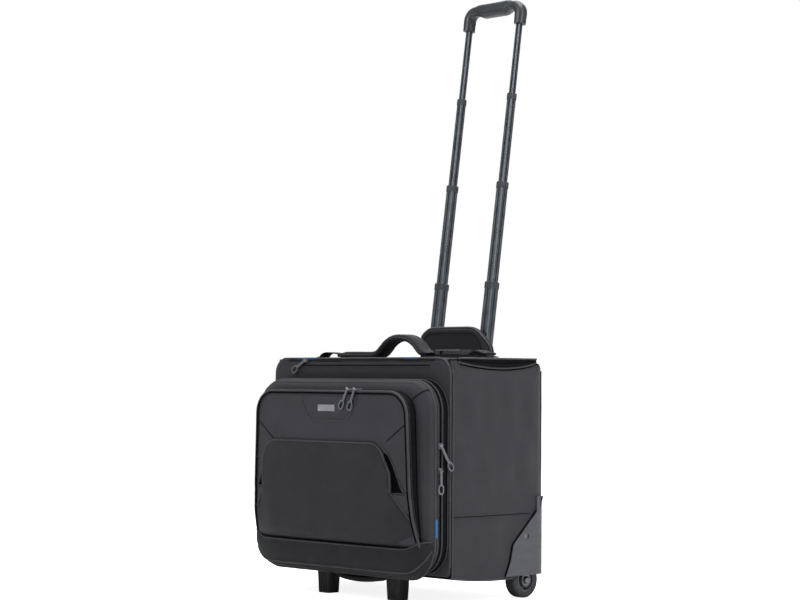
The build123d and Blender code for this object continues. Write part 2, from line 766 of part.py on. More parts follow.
def slider(pin_plane, body_centre, body_size):
    """Zip slider: a body that straddles the teeth, two ears and the pin of its pull."""
    with BuildPart() as piece:
        with Locations(body_centre):
            Box(*body_size)
        fillet(piece.edges().filter_by(Axis.Y), 0.8)
        for end in (-1, 1):
            with BuildSketch(across_pin(pin_plane).offset(end * EAR_X[0])) as ear:
                Circle(BARREL_R)
            extrude(ear.sketch, amount=end * (EAR_X[1] - EAR_X[0]))
        with BuildSketch(across_pin(pin_plane)) as pin:
            Circle(PIN_R)
        extrude(pin.sketch, amount=EAR_X[1], both=True)
        foot = pin_plane.location * Location((0, 0, -BARREL_R))
        with Locations(*[foot * Location((end * (EAR_X[0] + EAR_X[1]) / 2, 0, 0)) for end in (-1, 1)]):
            Box(EAR_X[1] - EAR_X[0], 2 * BARREL_R, 2 * BARREL_R)
    return piece


def pull(pin_plane, length):
    """Flat pull: a barrel round the pin, a stem and a long ring."""
    stem_end = length - RING_H
    with BuildPart() as tag:
        with BuildSketch(pin_plane.offset(-PULL_T / 2)) as flat:
            with Locations((0, -(length - RING_H / 2))):
                SlotOverall(RING_H, RING_W, rotation=90)
                SlotOverall(RING_H - 5, RING_W - 5, rotation=90, mode=Mode.SUBTRACT)
            with Locations((0, -(stem_end + 1) / 2)):
                Rectangle(EAR_X[0] * 2 - 0.8, stem_end + 1)
        extrude(flat.sketch, amount=PULL_T)
        with BuildSketch(across_pin(pin_plane)) as barrel:
            Circle(BARREL_R)
        extrude(barrel.sketch, amount=EAR_X[0] - 0.4, both=True)
        with BuildSketch(across_pin(pin_plane)) as bore:
            Circle(PIN_R + RUNNING_GAP)
        extrude(bore.sketch, amount=EAR_X[1], both=True, mode=Mode.SUBTRACT)
    return tag


POCKET_PIN_Y = POCKET_FACE_Y - 2.3
POCKET_SLIDERS = {"left": (50.0, -29.0), "right": (67.0, -22.0)}  # place across, swing of the pull
ORGANIZER_PIN = (ORGANIZER_W / 2 + 4.6, GUSSET_FRONT_Y - ZIP_T / 2)
ORGANIZER_SLIDERS = {"upper": (258.0, 33.0, 48.0), "lower": (218.0, 0.0, 38.0)}  # height, swing, pull length


def pocket_slider_and_pull(x, swing):
    """Slider that runs on top of the front pocket; its pull hangs over the pocket's face."""
    pin = hanging_plane((x, POCKET_PIN_Y, POCKET_TEETH_Z + 1.9), (0, -1, 0), swing)
    body_back = POCKET_ZIP_Y + 4
    body_front = POCKET_PIN_Y + BARREL_R
    centre = (x, (body_back + body_front) / 2, POCKET_TEETH_Z + 1.5)
    return slider(pin, centre, (8, body_back - body_front, 2.4)), pull(pin, 38.0)


def organizer_slider_and_pull(z, swing, length):
    """Slider that runs up the organizer's right flank."""
    pin_x, zip_y = ORGANIZER_PIN
    pin = hanging_plane((pin_x, zip_y, z), (1, 0, 0), swing)
    body_x = (ORGANIZER_W / 2 + 0.3, pin_x - BARREL_R)
    centre = ((body_x[0] + body_x[1]) / 2, zip_y, z)
    return slider(pin, centre, (body_x[1] - body_x[0], 8, 10)), pull(pin, length)


def laptop_slider_and_pull():
    """Slider on the front wall's top edge; its pull lies askew across the wall."""
    pin_y = FRONT_Y - 6.2
    pin = hanging_plane((LAPTOP_SLIDER_X, pin_y, ZIP_Z), (0, -1, 0), -59)
    body_y = (FRONT_Y - 2.1, pin_y + BARREL_R)
    centre = (LAPTOP_SLIDER_X, (body_y[0] + body_y[1]) / 2, ZIP_Z)
    return slider(pin, centre, (10, body_y[0] - body_y[1], 6.5)), pull(pin, 38.0)


# ---------------------------------------------------------------- lid with its carrying strap
def lid_panel():
    """Padded lid, hinged along its rear edge, with a soft front lip."""
    with BuildPart() as lid:
        with BuildSketch(Plane.XY.offset(LID_Z[0])) as outline:
            with Locations((0, LID_FRONT_Y)):
                Rectangle(LID_W, LID_BACK_Y - LID_FRONT_Y, align=(Align.CENTER, Align.MIN))
            fillet(outline.vertices(), 9)
        extrude(amount=LID_Z[1] - LID_Z[0])
        fillet(lid.faces().sort_by(Axis.Z)[-1].edges(), 3)
    return lid


STRAP_Z = LID_Z[1] + 0.2 + STRAP_T / 2
PAD_X = (-158.0, 62.0)
BUCKLE_X = (92.0, 148.0)
BUCKLE_Z = 410.5


def along_strap(points, radii, thickness, width):
    """Band of webbing that follows points in the upright plane across the lid."""
    with BuildSketch(facing(STRAP_Y + width / 2)) as band:
        with BuildLine() as line:
            FilletPolyline(*points, radius=radii)
        trace(line.edges(), thickness)
    extrude(band.sketch, amount=width)


def grab_strap():
    """Webbing across the lid, in three stretches: anchor to grip, grip to buckle, adjuster to anchor."""
    with BuildPart() as strap:
        along_strap(
            [(-209, STRAP_Z), (-196, STRAP_Z), (-184, 412), (-170, 412), (PAD_X[0] - 0.5, 408)],
            3,
            STRAP_T,
            STRAP_W,
        )
        along_strap([(PAD_X[1] + 1, 414), (78, BUCKLE_Z), (BUCKLE_X[0] - 0.5, BUCKLE_Z)], 3, STRAP_T, STRAP_W)
        along_strap([(169, 409), (185, STRAP_Z + 2), (196, STRAP_Z), (209, STRAP_Z)], 3, STRAP_T, STRAP_W)
    return strap


def grab_pad():
    """Padded grip: lies on the lid at its left, then arches up over the middle."""
    thickness, width = 10.0, 30.0
    with BuildPart() as pad:
        along_strap(
            [(PAD_X[0], 408.5), (-70, 409), (-34, 433), (28, 434), (PAD_X[1], 413)],
            16,
            thickness,
            width,
        )
        fillet(pad.faces().filter_by(Axis.Y).edges(), 3)
    return pad


def buckle_socket():
    """Receiving half of the side-release buckle, open at both flanks for the latches."""
    half_l = (BUCKLE_X[1] - BUCKLE_X[0]) / 2
    with BuildPart() as socket:
        with BuildSketch(sideways(BUCKLE_X[0], STRAP_Y, BUCKLE_Z)):
            RectangleRounded(34, 10, 3)
        extrude(amount=half_l)
        with BuildSketch(sideways(BUCKLE_X[0] + 8, STRAP_Y, BUCKLE_Z)):
            Rectangle(28, 5.5)
        extrude(amount=half_l, mode=Mode.SUBTRACT)
        with Locations(*[(BUCKLE_X[0] + 16, STRAP_Y + end * 17, BUCKLE_Z) for end in (-1, 1)]):
            Box(9, 10, 5.5, mode=Mode.SUBTRACT)
    return socket


def buckle_plug():
    """Entering half of the buckle: three prongs on a base, with a ladder bar that adjusts the strap."""
    mid = (BUCKLE_X[0] + BUCKLE_X[1]) / 2 + 0.3
    ladder_end = 168.0
    with BuildPart() as plug:
        with BuildSketch(sideways(mid, STRAP_Y, BUCKLE_Z)):
            RectangleRounded(34, 10, 3)
        extrude(amount=BUCKLE_X[1] - mid)
        with Locations(*[(mid, STRAP_Y + across, BUCKLE_Z) for across in (-11.5, 0, 11.5)]):
            Box(16, 4, 4.5, align=(Align.MAX, Align.CENTER, Align.CENTER))
        with BuildSketch(Plane.XY.offset(BUCKLE_Z - 4)):
            with Locations((ladder_end, STRAP_Y)):
                Rectangle(ladder_end - BUCKLE_X[1] + 2, 33, align=(Align.MAX, Align.CENTER))
            with Locations((BUCKLE_X[1] + 5, STRAP_Y), (BUCKLE_X[1] + 13.5, STRAP_Y)):
                Rectangle(5, 26, mode=Mode.SUBTRACT)
        extrude(amount=4)
    return plug


# ---------------------------------------------------------------- telescopic handle
def tube_pair(width, wall, foot, top):
    """Two rounded square tubes along the handle axis."""
    with BuildPart() as tubes:
        for side in SIDES.values():
            with BuildSketch(HANDLE.offset(foot)):
                with Locations((side * TUBE_X, 0)):
                    bore = width - 2 * wall
                    RectangleRounded(width, width, TUBE_EDGE_R)
                    RectangleRounded(bore, bore, TUBE_EDGE_R - wall / 2, mode=Mode.SUBTRACT)
            extrude(amount=top - foot)
    return tubes


def collar_pair(width, inner_width, top):
    """Bevelled end collars on the tubes of one stage, with a bore for the next stage."""
    outer = width + 1.6
    with BuildPart() as collars:
        for side in SIDES.values():
            with BuildSketch(HANDLE.offset(top)):
                with Locations((side * TUBE_X, 0)):
                    RectangleRounded(outer, outer, TUBE_EDGE_R + 0.8)
            extrude(amount=COLLAR_H)
        chamfer(collars.faces().group_by(Axis.Z)[-1].edges(), 1.2)
        for side in SIDES.values():
            with BuildSketch(HANDLE.offset(top)):
                with Locations((side * TUBE_X, 0)):
                    bore = inner_width + 2 * SLIDE_GAP
                    RectangleRounded(bore, bore, TUBE_EDGE_R)
            extrude(amount=COLLAR_H, mode=Mode.SUBTRACT)
    return collars


def tube_bracket():
    """Moulded bracket that ties the feet of the outer tubes to the base."""
    foot_s, top_s = -350.0, OUTER_TUBE["foot"]
    with BuildPart() as bracket:
        with BuildSketch(HANDLE.offset(foot_s)):
            RectangleRounded(2 * TUBE_X + 32, 26, 5)
        extrude(amount=top_s - foot_s)
    return bracket


def socket_plate():
    """Moulded plate at the rim that guides the lowest moving stage into the outer tubes."""
    foot_s, top_s = OUTER_TUBE["top"], 4.0
    with BuildPart() as plate:
        with BuildSketch(HANDLE.offset(foot_s)):
            RectangleRounded(2 * TUBE_X + 24, 22, 4)
            bore = STAGES["4"]["width"] + 2 * SLIDE_GAP
            with Locations(*[(side * TUBE_X, 0) for side in SIDES.values()]):
                RectangleRounded(bore, bore, TUBE_EDGE_R, mode=Mode.SUBTRACT)
        extrude(amount=top_s - foot_s)
        chamfer(plate.faces().sort_by(Axis.Z)[-1].outer_wire().edges(), 1.5)
    return plate


BUTTON_X = 22.0
BUTTON_L, BUTTON_W = 22.0, 11.0
BUTTON_WELL_S = GRIP_BAR_TOP_S - 9.0


def grip():
    """Moulded handgrip: a thick bar with an arched underside and a short leg over each tube."""
    half_w = TUBE_X + 12.0
    leg_w = 20.0
    underside_s = GRIP_BASE_S + 20.0
    upright = Plane(origin=HANDLE.origin, x_dir=(1, 0, 0), z_dir=-HANDLE.y_dir)
    with BuildPart() as body:
        with BuildSketch(upright.offset(-GRIP_T / 2)) as outline:
            blank = Polygon(
                (-half_w + 2, GRIP_BASE_S),
                (half_w - 2, GRIP_BASE_S),
                (half_w, GRIP_BAR_TOP_S),
                (-half_w, GRIP_BAR_TOP_S),
                align=None,
            )
            fillet(blank.vertices().group_by(Axis.Y)[-1], 17)
            inner = half_w - leg_w
            with Locations((0, underside_s)):
                Rectangle(2 * inner, 4 * leg_w, align=(Align.CENTER, Align.MAX), mode=Mode.SUBTRACT)
            corners = outline.vertices().filter_by(lambda v: abs(abs(v.X) - inner) < 1)
            fillet(corners.group_by(Axis.Y)[-1], 12)
        extrude(amount=GRIP_T)
        flat_faces = body.faces().filter_by(lambda f: abs(f.normal_at().dot(upright.z_dir)) > 0.99)
        fillet(flat_faces.edges(), GRIP_EDGE_R)
        with BuildSketch(HANDLE.offset(GRIP_BASE_S)):
            with Locations(*[(side * TUBE_X, 0) for side in SIDES.values()]):
                RectangleRounded(STAGES["1"]["width"], STAGES["1"]["width"], TUBE_EDGE_R)
        extrude(amount=STAGES["1"]["top"] - GRIP_BASE_S, mode=Mode.SUBTRACT)
        with BuildSketch(HANDLE.offset(BUTTON_WELL_S)):
            with Locations((BUTTON_X, 0)):
                RectangleRounded(BUTTON_L + 1, BUTTON_W + 1, 4)
        extrude(amount=GRIP_BAR_TOP_S - BUTTON_WELL_S + 1, mode=Mode.SUBTRACT)
    return body


def grip_button():
    """Push button that unlocks the stages; it stands in its well and sinks 3 mm."""
    with BuildPart() as button:
        with BuildSketch(HANDLE.offset(BUTTON_WELL_S + 4)):
            with Locations((BUTTON_X, 0)):
                RectangleRounded(BUTTON_L, BUTTON_W, 3.5)
        extrude(amount=GRIP_BAR_TOP_S - BUTTON_WELL_S - 4)
        fillet(button.faces().sort_by(Axis.Z)[-1].edges(), 1)
    return button


# ---------------------------------------------------------------- make and write every piece
save(base_board(), "base_board")
save(rear_panel(), "rear_panel")
save(handle_housing(), "handle_housing")
save(divider(), "divider")
save(back_liner(), "back_liner")
save(top_strips(), "top_strips")
save(corner_bumpers(), "corner_bumpers")
save(wheel_wells(), "wheel_wells")
save(guard(), "guard")
save(feet(), "feet")
save(screws(), "screws")
save(bottom_grab_handle(), "bottom_grab_handle")
save(wheel_axles(), "wheel_axles")
for side_name, side_sign in SIDES.items():
    save(side_panel(side_sign), f"side_panel_{side_name}")
    save(tyre(side_sign), f"tyre_{side_name}")
    save(hub(side_sign), f"hub_{side_name}")
    save(bearings(side_sign), f"bearings_{side_name}")

save(front_wall(), "front_wall")
save(laptop_zip(), "laptop_zip")
save(zip_end_tabs(), "zip_end_tabs")
save(organizer_gusset(), "organizer_gusset")
save(organizer_zip(), "organizer_zip")
save(organizer_cover(), "organizer_cover")
save(bottom_band(), "bottom_band")
save(side_tag(), "side_tag")
save(front_pocket_cover(), "front_pocket_cover")
save(slip_pocket(), "slip_pocket")
save(badge_plate(), "badge_plate")
save(pocket_zip(), "pocket_zip")

slider_piece, pull_piece = laptop_slider_and_pull()
save(slider_piece, "laptop_slider")
save(pull_piece, "laptop_pull")
for slider_name, setting in POCKET_SLIDERS.items():
    slider_piece, pull_piece = pocket_slider_and_pull(*setting)
    save(slider_piece, f"pocket_slider_{slider_name}")
    save(pull_piece, f"pocket_pull_{slider_name}")
for slider_name, setting in ORGANIZER_SLIDERS.items():
    slider_piece, pull_piece = organizer_slider_and_pull(*setting)
    save(slider_piece, f"organizer_slider_{slider_name}")
    save(pull_piece, f"organizer_pull_{slider_name}")

save(lid_panel(), "lid_panel")
save(grab_strap(), "grab_strap")
save(grab_pad(), "grab_pad")
save(buckle_socket(), "buckle_socket")
save(buckle_plug(), "buckle_plug")

save(tube_pair(**OUTER_TUBE), "outer_tubes")
save(tube_bracket(), "tube_bracket")
save(socket_plate(), "socket_plate")
for stage_name, stage in STAGES.items():
    save(tube_pair(**stage), f"stage_{stage_name}_tubes")
for stage_name, next_name in (("4", "3"), ("3", "2"), ("2", "1")):
    stage = STAGES[stage_name]
    save(
        collar_pair(stage["width"], STAGES[next_name]["width"], stage["top"]),
        f"stage_{stage_name}_collars",
    )
save(grip(), "grip")
save(grip_button(), "grip_button")
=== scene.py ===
"""Looks of the rolling laptop case: soft panels, piping, stitching, webbing and materials.

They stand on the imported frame. Shapes are worked out in millimetres and become metres when a mesh is made.
"""

import json
from math import atan2, cos, pi, radians, sin, tan

import bmesh
import bpy
import numpy as np
from mathutils import Matrix, Vector


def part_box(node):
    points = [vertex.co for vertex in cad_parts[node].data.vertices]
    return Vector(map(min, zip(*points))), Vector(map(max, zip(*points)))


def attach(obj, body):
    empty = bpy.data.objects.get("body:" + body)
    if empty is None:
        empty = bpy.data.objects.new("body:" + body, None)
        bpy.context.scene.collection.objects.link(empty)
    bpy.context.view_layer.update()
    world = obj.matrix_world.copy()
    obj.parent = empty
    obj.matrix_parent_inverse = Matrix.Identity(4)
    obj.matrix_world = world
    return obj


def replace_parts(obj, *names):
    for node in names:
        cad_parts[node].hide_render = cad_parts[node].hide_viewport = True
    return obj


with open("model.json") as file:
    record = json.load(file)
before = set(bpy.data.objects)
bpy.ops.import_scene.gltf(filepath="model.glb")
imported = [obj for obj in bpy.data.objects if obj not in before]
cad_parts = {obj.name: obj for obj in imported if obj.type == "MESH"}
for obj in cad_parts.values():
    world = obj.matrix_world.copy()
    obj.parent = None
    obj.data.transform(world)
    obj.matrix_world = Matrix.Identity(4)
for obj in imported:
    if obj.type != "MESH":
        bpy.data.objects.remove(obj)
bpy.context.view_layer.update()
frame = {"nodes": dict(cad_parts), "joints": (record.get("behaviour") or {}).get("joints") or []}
MM = 0.001


def node_box(node):
    """Lowest and highest corner of a CAD node, in millimetres."""
    low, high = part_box(node)
    return np.array(low) / MM, np.array(high) / MM


# ---------------------------------------------------------------- places taken from the frame
WALL_LOW, WALL_HIGH = node_box("front_wall")
GUSSET_LOW, _ = node_box("organizer_gusset")
ZIP_LOW, ZIP_HIGH = node_box("organizer_zip")
COVER_LOW, COVER_HIGH = node_box("organizer_cover")
POCKET_LOW, POCKET_HIGH = node_box("front_pocket_cover")
LAPTOP_ZIP_LOW, LAPTOP_ZIP_HIGH = node_box("laptop_zip")
SIDE_LOW, _ = node_box("side_panel_right")
_, REAR_HIGH = node_box("rear_panel")
HOUSING_LOW, HOUSING_HIGH = node_box("handle_housing")
LID_LOW, LID_HIGH = node_box("lid_panel")
STRAP_LOW, STRAP_HIGH = node_box("grab_strap")
PAD_LOW, PAD_HIGH = node_box("grab_pad")
SOCKET_LOW, SOCKET_HIGH = node_box("buckle_socket")
_, PLUG_HIGH = node_box("buckle_plug")
GUARD_LOW, GUARD_HIGH = node_box("guard")
FEET_LOW, FEET_HIGH = node_box("feet")
BELLY_LOW, BELLY_HIGH = node_box("bottom_grab_handle")
DIVIDER_LOW, DIVIDER_HIGH = node_box("divider")
LINER_LOW, LINER_HIGH = node_box("back_liner")
STRIPS_LOW, STRIPS_HIGH = node_box("top_strips")
WELLS_LOW, WELLS_HIGH = node_box("wheel_wells")
BUMPER_LOW, BUMPER_HIGH = node_box("corner_bumpers")
TAG_LOW, TAG_HIGH = node_box("side_tag")

HALF_W = WALL_HIGH[0]
FRONT_Y, WALL_BACK_Y = WALL_LOW[1], WALL_HIGH[1]
BACK_Y = REAR_HIGH[1]
CASE_Y = (FRONT_Y + BACK_Y) / 2
FLOOR_Z, RIM_Z = SIDE_LOW[2], WALL_HIGH[2]
LEAN = Vector(next(joint["axis"] for joint in frame["joints"] if joint["name"] == "stage_4_slide"))
HANDLE_BACK = np.array([0.0, LEAN.z, -LEAN.y])
SIDES = (("left", -1), ("right", 1))


# ---------------------------------------------------------------- procedural materials
class Shading:
    """One material and the node helpers that build it."""

    def __init__(self, name, **settings):
        self.material = bpy.data.materials.new(name)
        self.material.use_nodes = True
        self.tree = self.material.node_tree
        self.shader = self.tree.nodes["Principled BSDF"]
        for socket, value in settings.items():
            self.shader.inputs[socket.replace("_", " ")].default_value = value
        self.here = self.add("ShaderNodeTexCoord").outputs["Object"]
        self.height = None

    def add(self, kind, links=None, **settings):
        node = self.tree.nodes.new(kind)
        for key, value in settings.items():
            setattr(node, key, value)
        for socket, value in (links or {}).items():
            if isinstance(value, bpy.types.NodeSocket):
                self.tree.links.new(value, node.inputs[socket])
            else:
                node.inputs[socket].default_value = value
        return node

    def math(self, operation, first, second=0.0, third=0.0):
        return self.add("ShaderNodeMath", {0: first, 1: second, 2: third}, operation=operation).outputs[0]

    def axes(self):
        parts = self.add("ShaderNodeSeparateXYZ", {0: self.here}).outputs
        return parts[0], parts[1], parts[2]

    def noise(self, scale, detail=3.0, stretch=(1, 1, 1)):
        mapping = self.add("ShaderNodeMapping", {"Vector": self.here, "Scale": stretch})
        texture = self.add(
            "ShaderNodeTexNoise", {"Vector": mapping.outputs[0], "Scale": scale, "Detail": detail}
        )
        return texture.outputs["Fac"]

    def ramp(self, value, low, high):
        """Value stretched so that 0.3 gives low and 0.7 gives high."""
        node = self.add("ShaderNodeMapRange", {"Value": value, 1: 0.3, 2: 0.7, 3: low, 4: high})
        return node.outputs[0]

    def tint(self, colour, *shades):
        """Base colour multiplied by each shade."""
        product = shades[0]
        for shade in shades[1:]:
            product = self.math("MULTIPLY", product, shade)
        mixed = self.add("ShaderNodeVectorMath", {0: colour, "Scale": product}, operation="SCALE")
        self.tree.links.new(mixed.outputs[0], self.shader.inputs["Base Color"])
        return mixed.outputs[0]

    def rough(self, socket):
        self.tree.links.new(socket, self.shader.inputs["Roughness"])

    def bump(self, height, distance, strength=0.6):
        """Adds one layer of bump over those already there."""
        links = {"Height": height, "Distance": distance, "Strength": strength}
        if self.height is not None:
            links["Normal"] = self.height
        node = self.add("ShaderNodeBump", links)
        self.height = node.outputs[0]
        self.tree.links.new(self.height, self.shader.inputs["Normal"])

    def weave(self, pitch):
        """Woven height, from about -1 to 1, on faces of any direction; pitch in metres."""
        wobble = self.ramp(self.noise(90.0), -0.0002, 0.0002)
        x, y, z = self.axes()
        turn = 2 * pi / pitch
        across = self.math("MULTIPLY", self.math("ADD", self.math("ADD", x, y), wobble), turn)
        upright = self.math("MULTIPLY", self.math("ADD", z, wobble), turn)
        slanted = self.math("MULTIPLY", self.math("SUBTRACT", x, y), turn)
        cloth = self.math("MULTIPLY", self.math("SINE", across), self.math("SINE", upright))
        ribs = self.math("MULTIPLY", self.math("SINE", slanted), 0.35)
        return self.math("ADD", cloth, ribs)


def fabric(name, colour, pitch=0.0011, depth=0.00016, sheen=0.08, roughness=0.7, gloss=0.16):
    """Woven polyester: yarns, soft patches of wear and dust, a faint sheen."""
    look = Shading(
        name, Roughness=roughness, Sheen_Weight=sheen, Sheen_Roughness=0.45, Specular_IOR_Level=gloss
    )
    weave = look.weave(pitch)
    yarns = look.math("MULTIPLY_ADD", weave, 0.16, 1.0)
    worn = look.ramp(look.noise(14.0, 5.0), 0.93, 1.07)
    fuzz = look.ramp(look.noise(900.0, 2.0), 0.88, 1.12)
    look.tint(colour, yarns, worn, fuzz)
    look.rough(look.ramp(look.noise(30.0, 4.0), roughness - 0.08, roughness + 0.08))
    look.bump(look.noise(45.0, 3.0), 0.0012, 0.25)
    look.bump(weave, depth, 0.7)
    look.bump(look.noise(1400.0, 2.0), 0.00012, 0.4)
    return look.material


def ribbed_webbing(name, colour, gloss=0.25):
    """Strap webbing: ribs along the strap with crosswise picks, for straps that run across the case."""
    look = Shading(name, Roughness=0.62, Sheen_Weight=0.05, Sheen_Roughness=0.4, Specular_IOR_Level=gloss)
    x, y, _ = look.axes()
    picks = look.math("SINE", look.math("MULTIPLY", x, 2 * pi / 0.0016))
    ribs = look.math("SINE", look.math("MULTIPLY", y, 2 * pi / 0.0024))
    height = look.math("MULTIPLY", picks, ribs)
    look.tint(colour, look.math("MULTIPLY_ADD", height, 0.2, 1.0), look.ramp(look.noise(60.0), 0.85, 1.15))
    look.bump(height, 0.00025, 0.8)
    look.bump(look.noise(1200.0), 0.0001, 0.4)
    return look.material


def moulded(name, colour, roughness=0.5, grain=0.00012, scale=650.0, coat=0.0):
    """Moulded plastic with a fine eroded grain, scuffs and slightly uneven gloss."""
    look = Shading(name, Roughness=roughness, Specular_IOR_Level=0.5, Coat_Weight=coat, Coat_Roughness=0.3)
    pores = look.add("ShaderNodeTexVoronoi", {"Vector": look.here, "Scale": scale}).outputs["Distance"]
    scuffs = look.ramp(look.noise(25.0, 6.0, (1, 1, 6)), 0.9, 1.12)
    look.tint(colour, scuffs, look.ramp(look.noise(400.0), 0.93, 1.07))
    look.rough(look.ramp(look.noise(55.0, 5.0), roughness - 0.09, roughness + 0.09))
    look.bump(pores, grain, 0.5)
    look.bump(look.noise(120.0, 4.0), grain * 2, 0.2)
    return look.material


def metal(name, colour, roughness, metallic=1.0, stretch=(1, 1, 0.04), scale=1500.0, depth=0.00002):
    """Metal with a drawn or brushed finish and faint handling marks."""
    look = Shading(name, Metallic=metallic, Roughness=roughness)
    drawn = look.noise(scale, 2.0, stretch)
    look.tint(colour, look.ramp(drawn, 0.9, 1.1), look.ramp(look.noise(40.0, 5.0), 0.9, 1.08))
    look.rough(look.ramp(look.noise(70.0, 5.0), roughness - 0.06, roughness + 0.08))
    look.bump(drawn, depth, 0.5)
    return look.material


def tube_metal():
    """Dark anodised tube: drawn along its length, with a recessed channel down every face whose blacker
    colour is painted shade.
    """
    look = Shading("tube_metal", Metallic=0.9, Roughness=0.3)
    x, y, z = look.axes()
    beside = look.math("ABSOLUTE", look.math("SUBTRACT", look.math("ABSOLUTE", x), TUBE_AXIS[0] * MM))
    depth_y = look.math("MULTIPLY", look.math("SUBTRACT", y, TUBE_AXIS[1] * MM), LEAN.z)
    depth_z = look.math("MULTIPLY", look.math("SUBTRACT", z, TUBE_AXIS[2] * MM), LEAN.y)
    behind = look.math("ABSOLUTE", look.math("SUBTRACT", depth_y, depth_z))
    nearest = look.math("MINIMUM", beside, behind)
    edge = look.add("ShaderNodeMapRange", {"Value": nearest, 1: 0.0011, 2: 0.0017, 3: 0.0, 4: 1.0})
    groove_shade = edge.outputs[0]
    drawn = look.noise(1500.0, 2.0, (1, 1, 0.03))
    # The channel down each face is darkened in colour as painted shade; the bump presses it in.
    shades = [look.math("MULTIPLY_ADD", groove_shade, 0.72, 0.28), look.ramp(drawn, 0.88, 1.12)]
    look.tint((0.17, 0.19, 0.215), *shades, look.ramp(look.noise(30.0, 4.0), 0.9, 1.1))
    look.rough(look.ramp(look.noise(60.0, 4.0), 0.24, 0.4))
    look.bump(groove_shade, 0.0004, 0.9)
    look.bump(drawn, 0.00002, 0.4)
    return look.material


def tyre_rubber():
    """Rubber tyre with a fine moulded rib round the tread."""
    look = Shading("tyre_rubber", Roughness=0.72, Specular_IOR_Level=0.4)
    x, _, _ = look.axes()
    ribs = look.math("SINE", look.math("MULTIPLY", x, 2 * pi / 0.0022))
    shade = look.math("MULTIPLY_ADD", ribs, 0.05, 1.0)
    look.tint((0.045, 0.048, 0.052), shade, look.ramp(look.noise(80.0, 5.0), 0.8, 1.25))
    look.rough(look.ramp(look.noise(120.0, 5.0), 0.62, 0.85))
    look.bump(ribs, 0.00012, 0.5)
    look.bump(look.noise(500.0, 4.0), 0.0001, 0.5)
    return look.material


# The handle axis passes through the middle of the lowest moving tubes.
tube_points = np.array([v.co for v in frame["nodes"]["stage_4_tubes"].data.vertices]) / MM
right_tube = tube_points[tube_points[:, 0] > 0]
TUBE_AXIS = [float(value) for value in (right_tube.max(0) + right_tube.min(0)) / 2]

PANEL = (0.049, 0.0492, 0.0565)
# Gusset colour, darkened past the fabric's own colour as painted shade: for side walls that lie in the
# pockets' shadow and for the shadow line under the lid's flaps.
GUSSET_PAINTED_SHADE = (0.008, 0.008, 0.01)
SIDE = (0.039, 0.0393, 0.045)
POCKET = (0.05, 0.0502, 0.0575)
CORD = (0.04, 0.041, 0.046)
GREY_CORD = (0.12, 0.125, 0.135)
PULLS = (0.2, 0.205, 0.225)
EVEN = (1, 1, 1)

# Each look: the record's material slot and the material itself.
LOOKS = {
    "panel": ("body_fabric", fabric("panel_weave", PANEL)),
    "side": (
        "body_fabric",
        fabric("side_weave", SIDE, pitch=0.0009, depth=0.0001, sheen=0.15, roughness=0.6),
    ),
    "slip": ("body_fabric", fabric("slip_weave", (0.0295, 0.0297, 0.034), pitch=0.001, depth=0.00012)),
    "pocket": ("body_fabric", fabric("pocket_weave", POCKET, pitch=0.001, depth=0.00012)),
    "band": ("body_fabric", fabric("band_weave", (0.0195, 0.0197, 0.023), pitch=0.0014, depth=0.0002)),
    # Gusset look: near-black as painted shade, see its colour above.
    "gusset": ("body_fabric", fabric("gusset_shade_weave", GUSSET_PAINTED_SHADE, pitch=0.0012, sheen=0.0, gloss=0.06)),
    # Near-black fabric that paints shade: the cords, strips and patches in this look stand in for the shade
    # in gaps, grooves, seams, darts and openings.
    "dark": ("body_fabric", fabric("painted_shade_weave", (0.003, 0.003, 0.004), sheen=0.0, gloss=0.02)),
    "piping": (
        "body_fabric",
        fabric("piping_weave", CORD, pitch=0.0008, roughness=0.42, sheen=0.05, gloss=0.5),
    ),
    "grey_piping": ("padded_fabric", fabric("grey_piping_weave", GREY_CORD, pitch=0.0008, roughness=0.6)),
    "lining": ("lining_fabric", fabric("lining_weave", (0.07, 0.073, 0.08), pitch=0.0007, depth=0.00008)),
    "padded": ("padded_fabric", fabric("padded_weave", (0.032, 0.0322, 0.037), pitch=0.0014, depth=0.0002)),
    "webbing": ("webbing", ribbed_webbing("strap_webbing", (0.011, 0.011, 0.013))),
    # Zip tape: black, and made darker still as painted shade in the gaps beside the pockets.
    "tape": ("zip_tape", ribbed_webbing("zip_tape_weave", (0.006, 0.006, 0.007), gloss=0.08)),
    "teeth": ("zip_tape", moulded("zip_coil", (0.016, 0.016, 0.018), roughness=0.38, scale=2500.0)),
    "thread": ("body_fabric", fabric("sewing_thread", CORD, pitch=0.0004, depth=0.00005, roughness=0.5)),
    "blue": ("blue_trim", fabric("blue_weave", (0.012, 0.075, 0.2), pitch=0.0009, gloss=0.3)),
    "tag": ("blue_trim", fabric("tag_weave", (0.03, 0.15, 0.36), pitch=0.0009, gloss=0.4)),
    "board": ("board", fabric("board_cover", (0.02, 0.02, 0.022), pitch=0.0016)),
    "plastic": ("moulded_plastic", moulded("bumper_grain", (0.074, 0.077, 0.088), roughness=0.46)),
    "dark_plastic": ("moulded_plastic", moulded("dark_grain", (0.015, 0.016, 0.019), roughness=0.5)),
    "collar": (
        "moulded_plastic",
        moulded("collar_satin", (0.05, 0.056, 0.064), roughness=0.34, scale=1200.0),
    ),
    "buckle": ("buckle_plastic", moulded("buckle_satin", (0.06, 0.062, 0.068), roughness=0.36, scale=1200.0)),
    "grip": (
        "grip_plastic",
        moulded("grip_satin", (0.036, 0.041, 0.046), roughness=0.36, scale=900.0, coat=0.15),
    ),
    "rubber": ("tyre_rubber", tyre_rubber()),
    "tube": ("tube_metal", tube_metal()),
    "steel": ("steel", metal("turned_steel", (0.2, 0.205, 0.215), 0.3, stretch=EVEN)),
    "zip_metal": ("zip_metal", metal("painted_pull", PULLS, 0.38, metallic=0.6, stretch=EVEN, scale=600.0)),
    "badge": ("badge_metal", metal("brushed_badge", (0.6, 0.61, 0.63), 0.3, stretch=(0.04, 1, 1))),
}


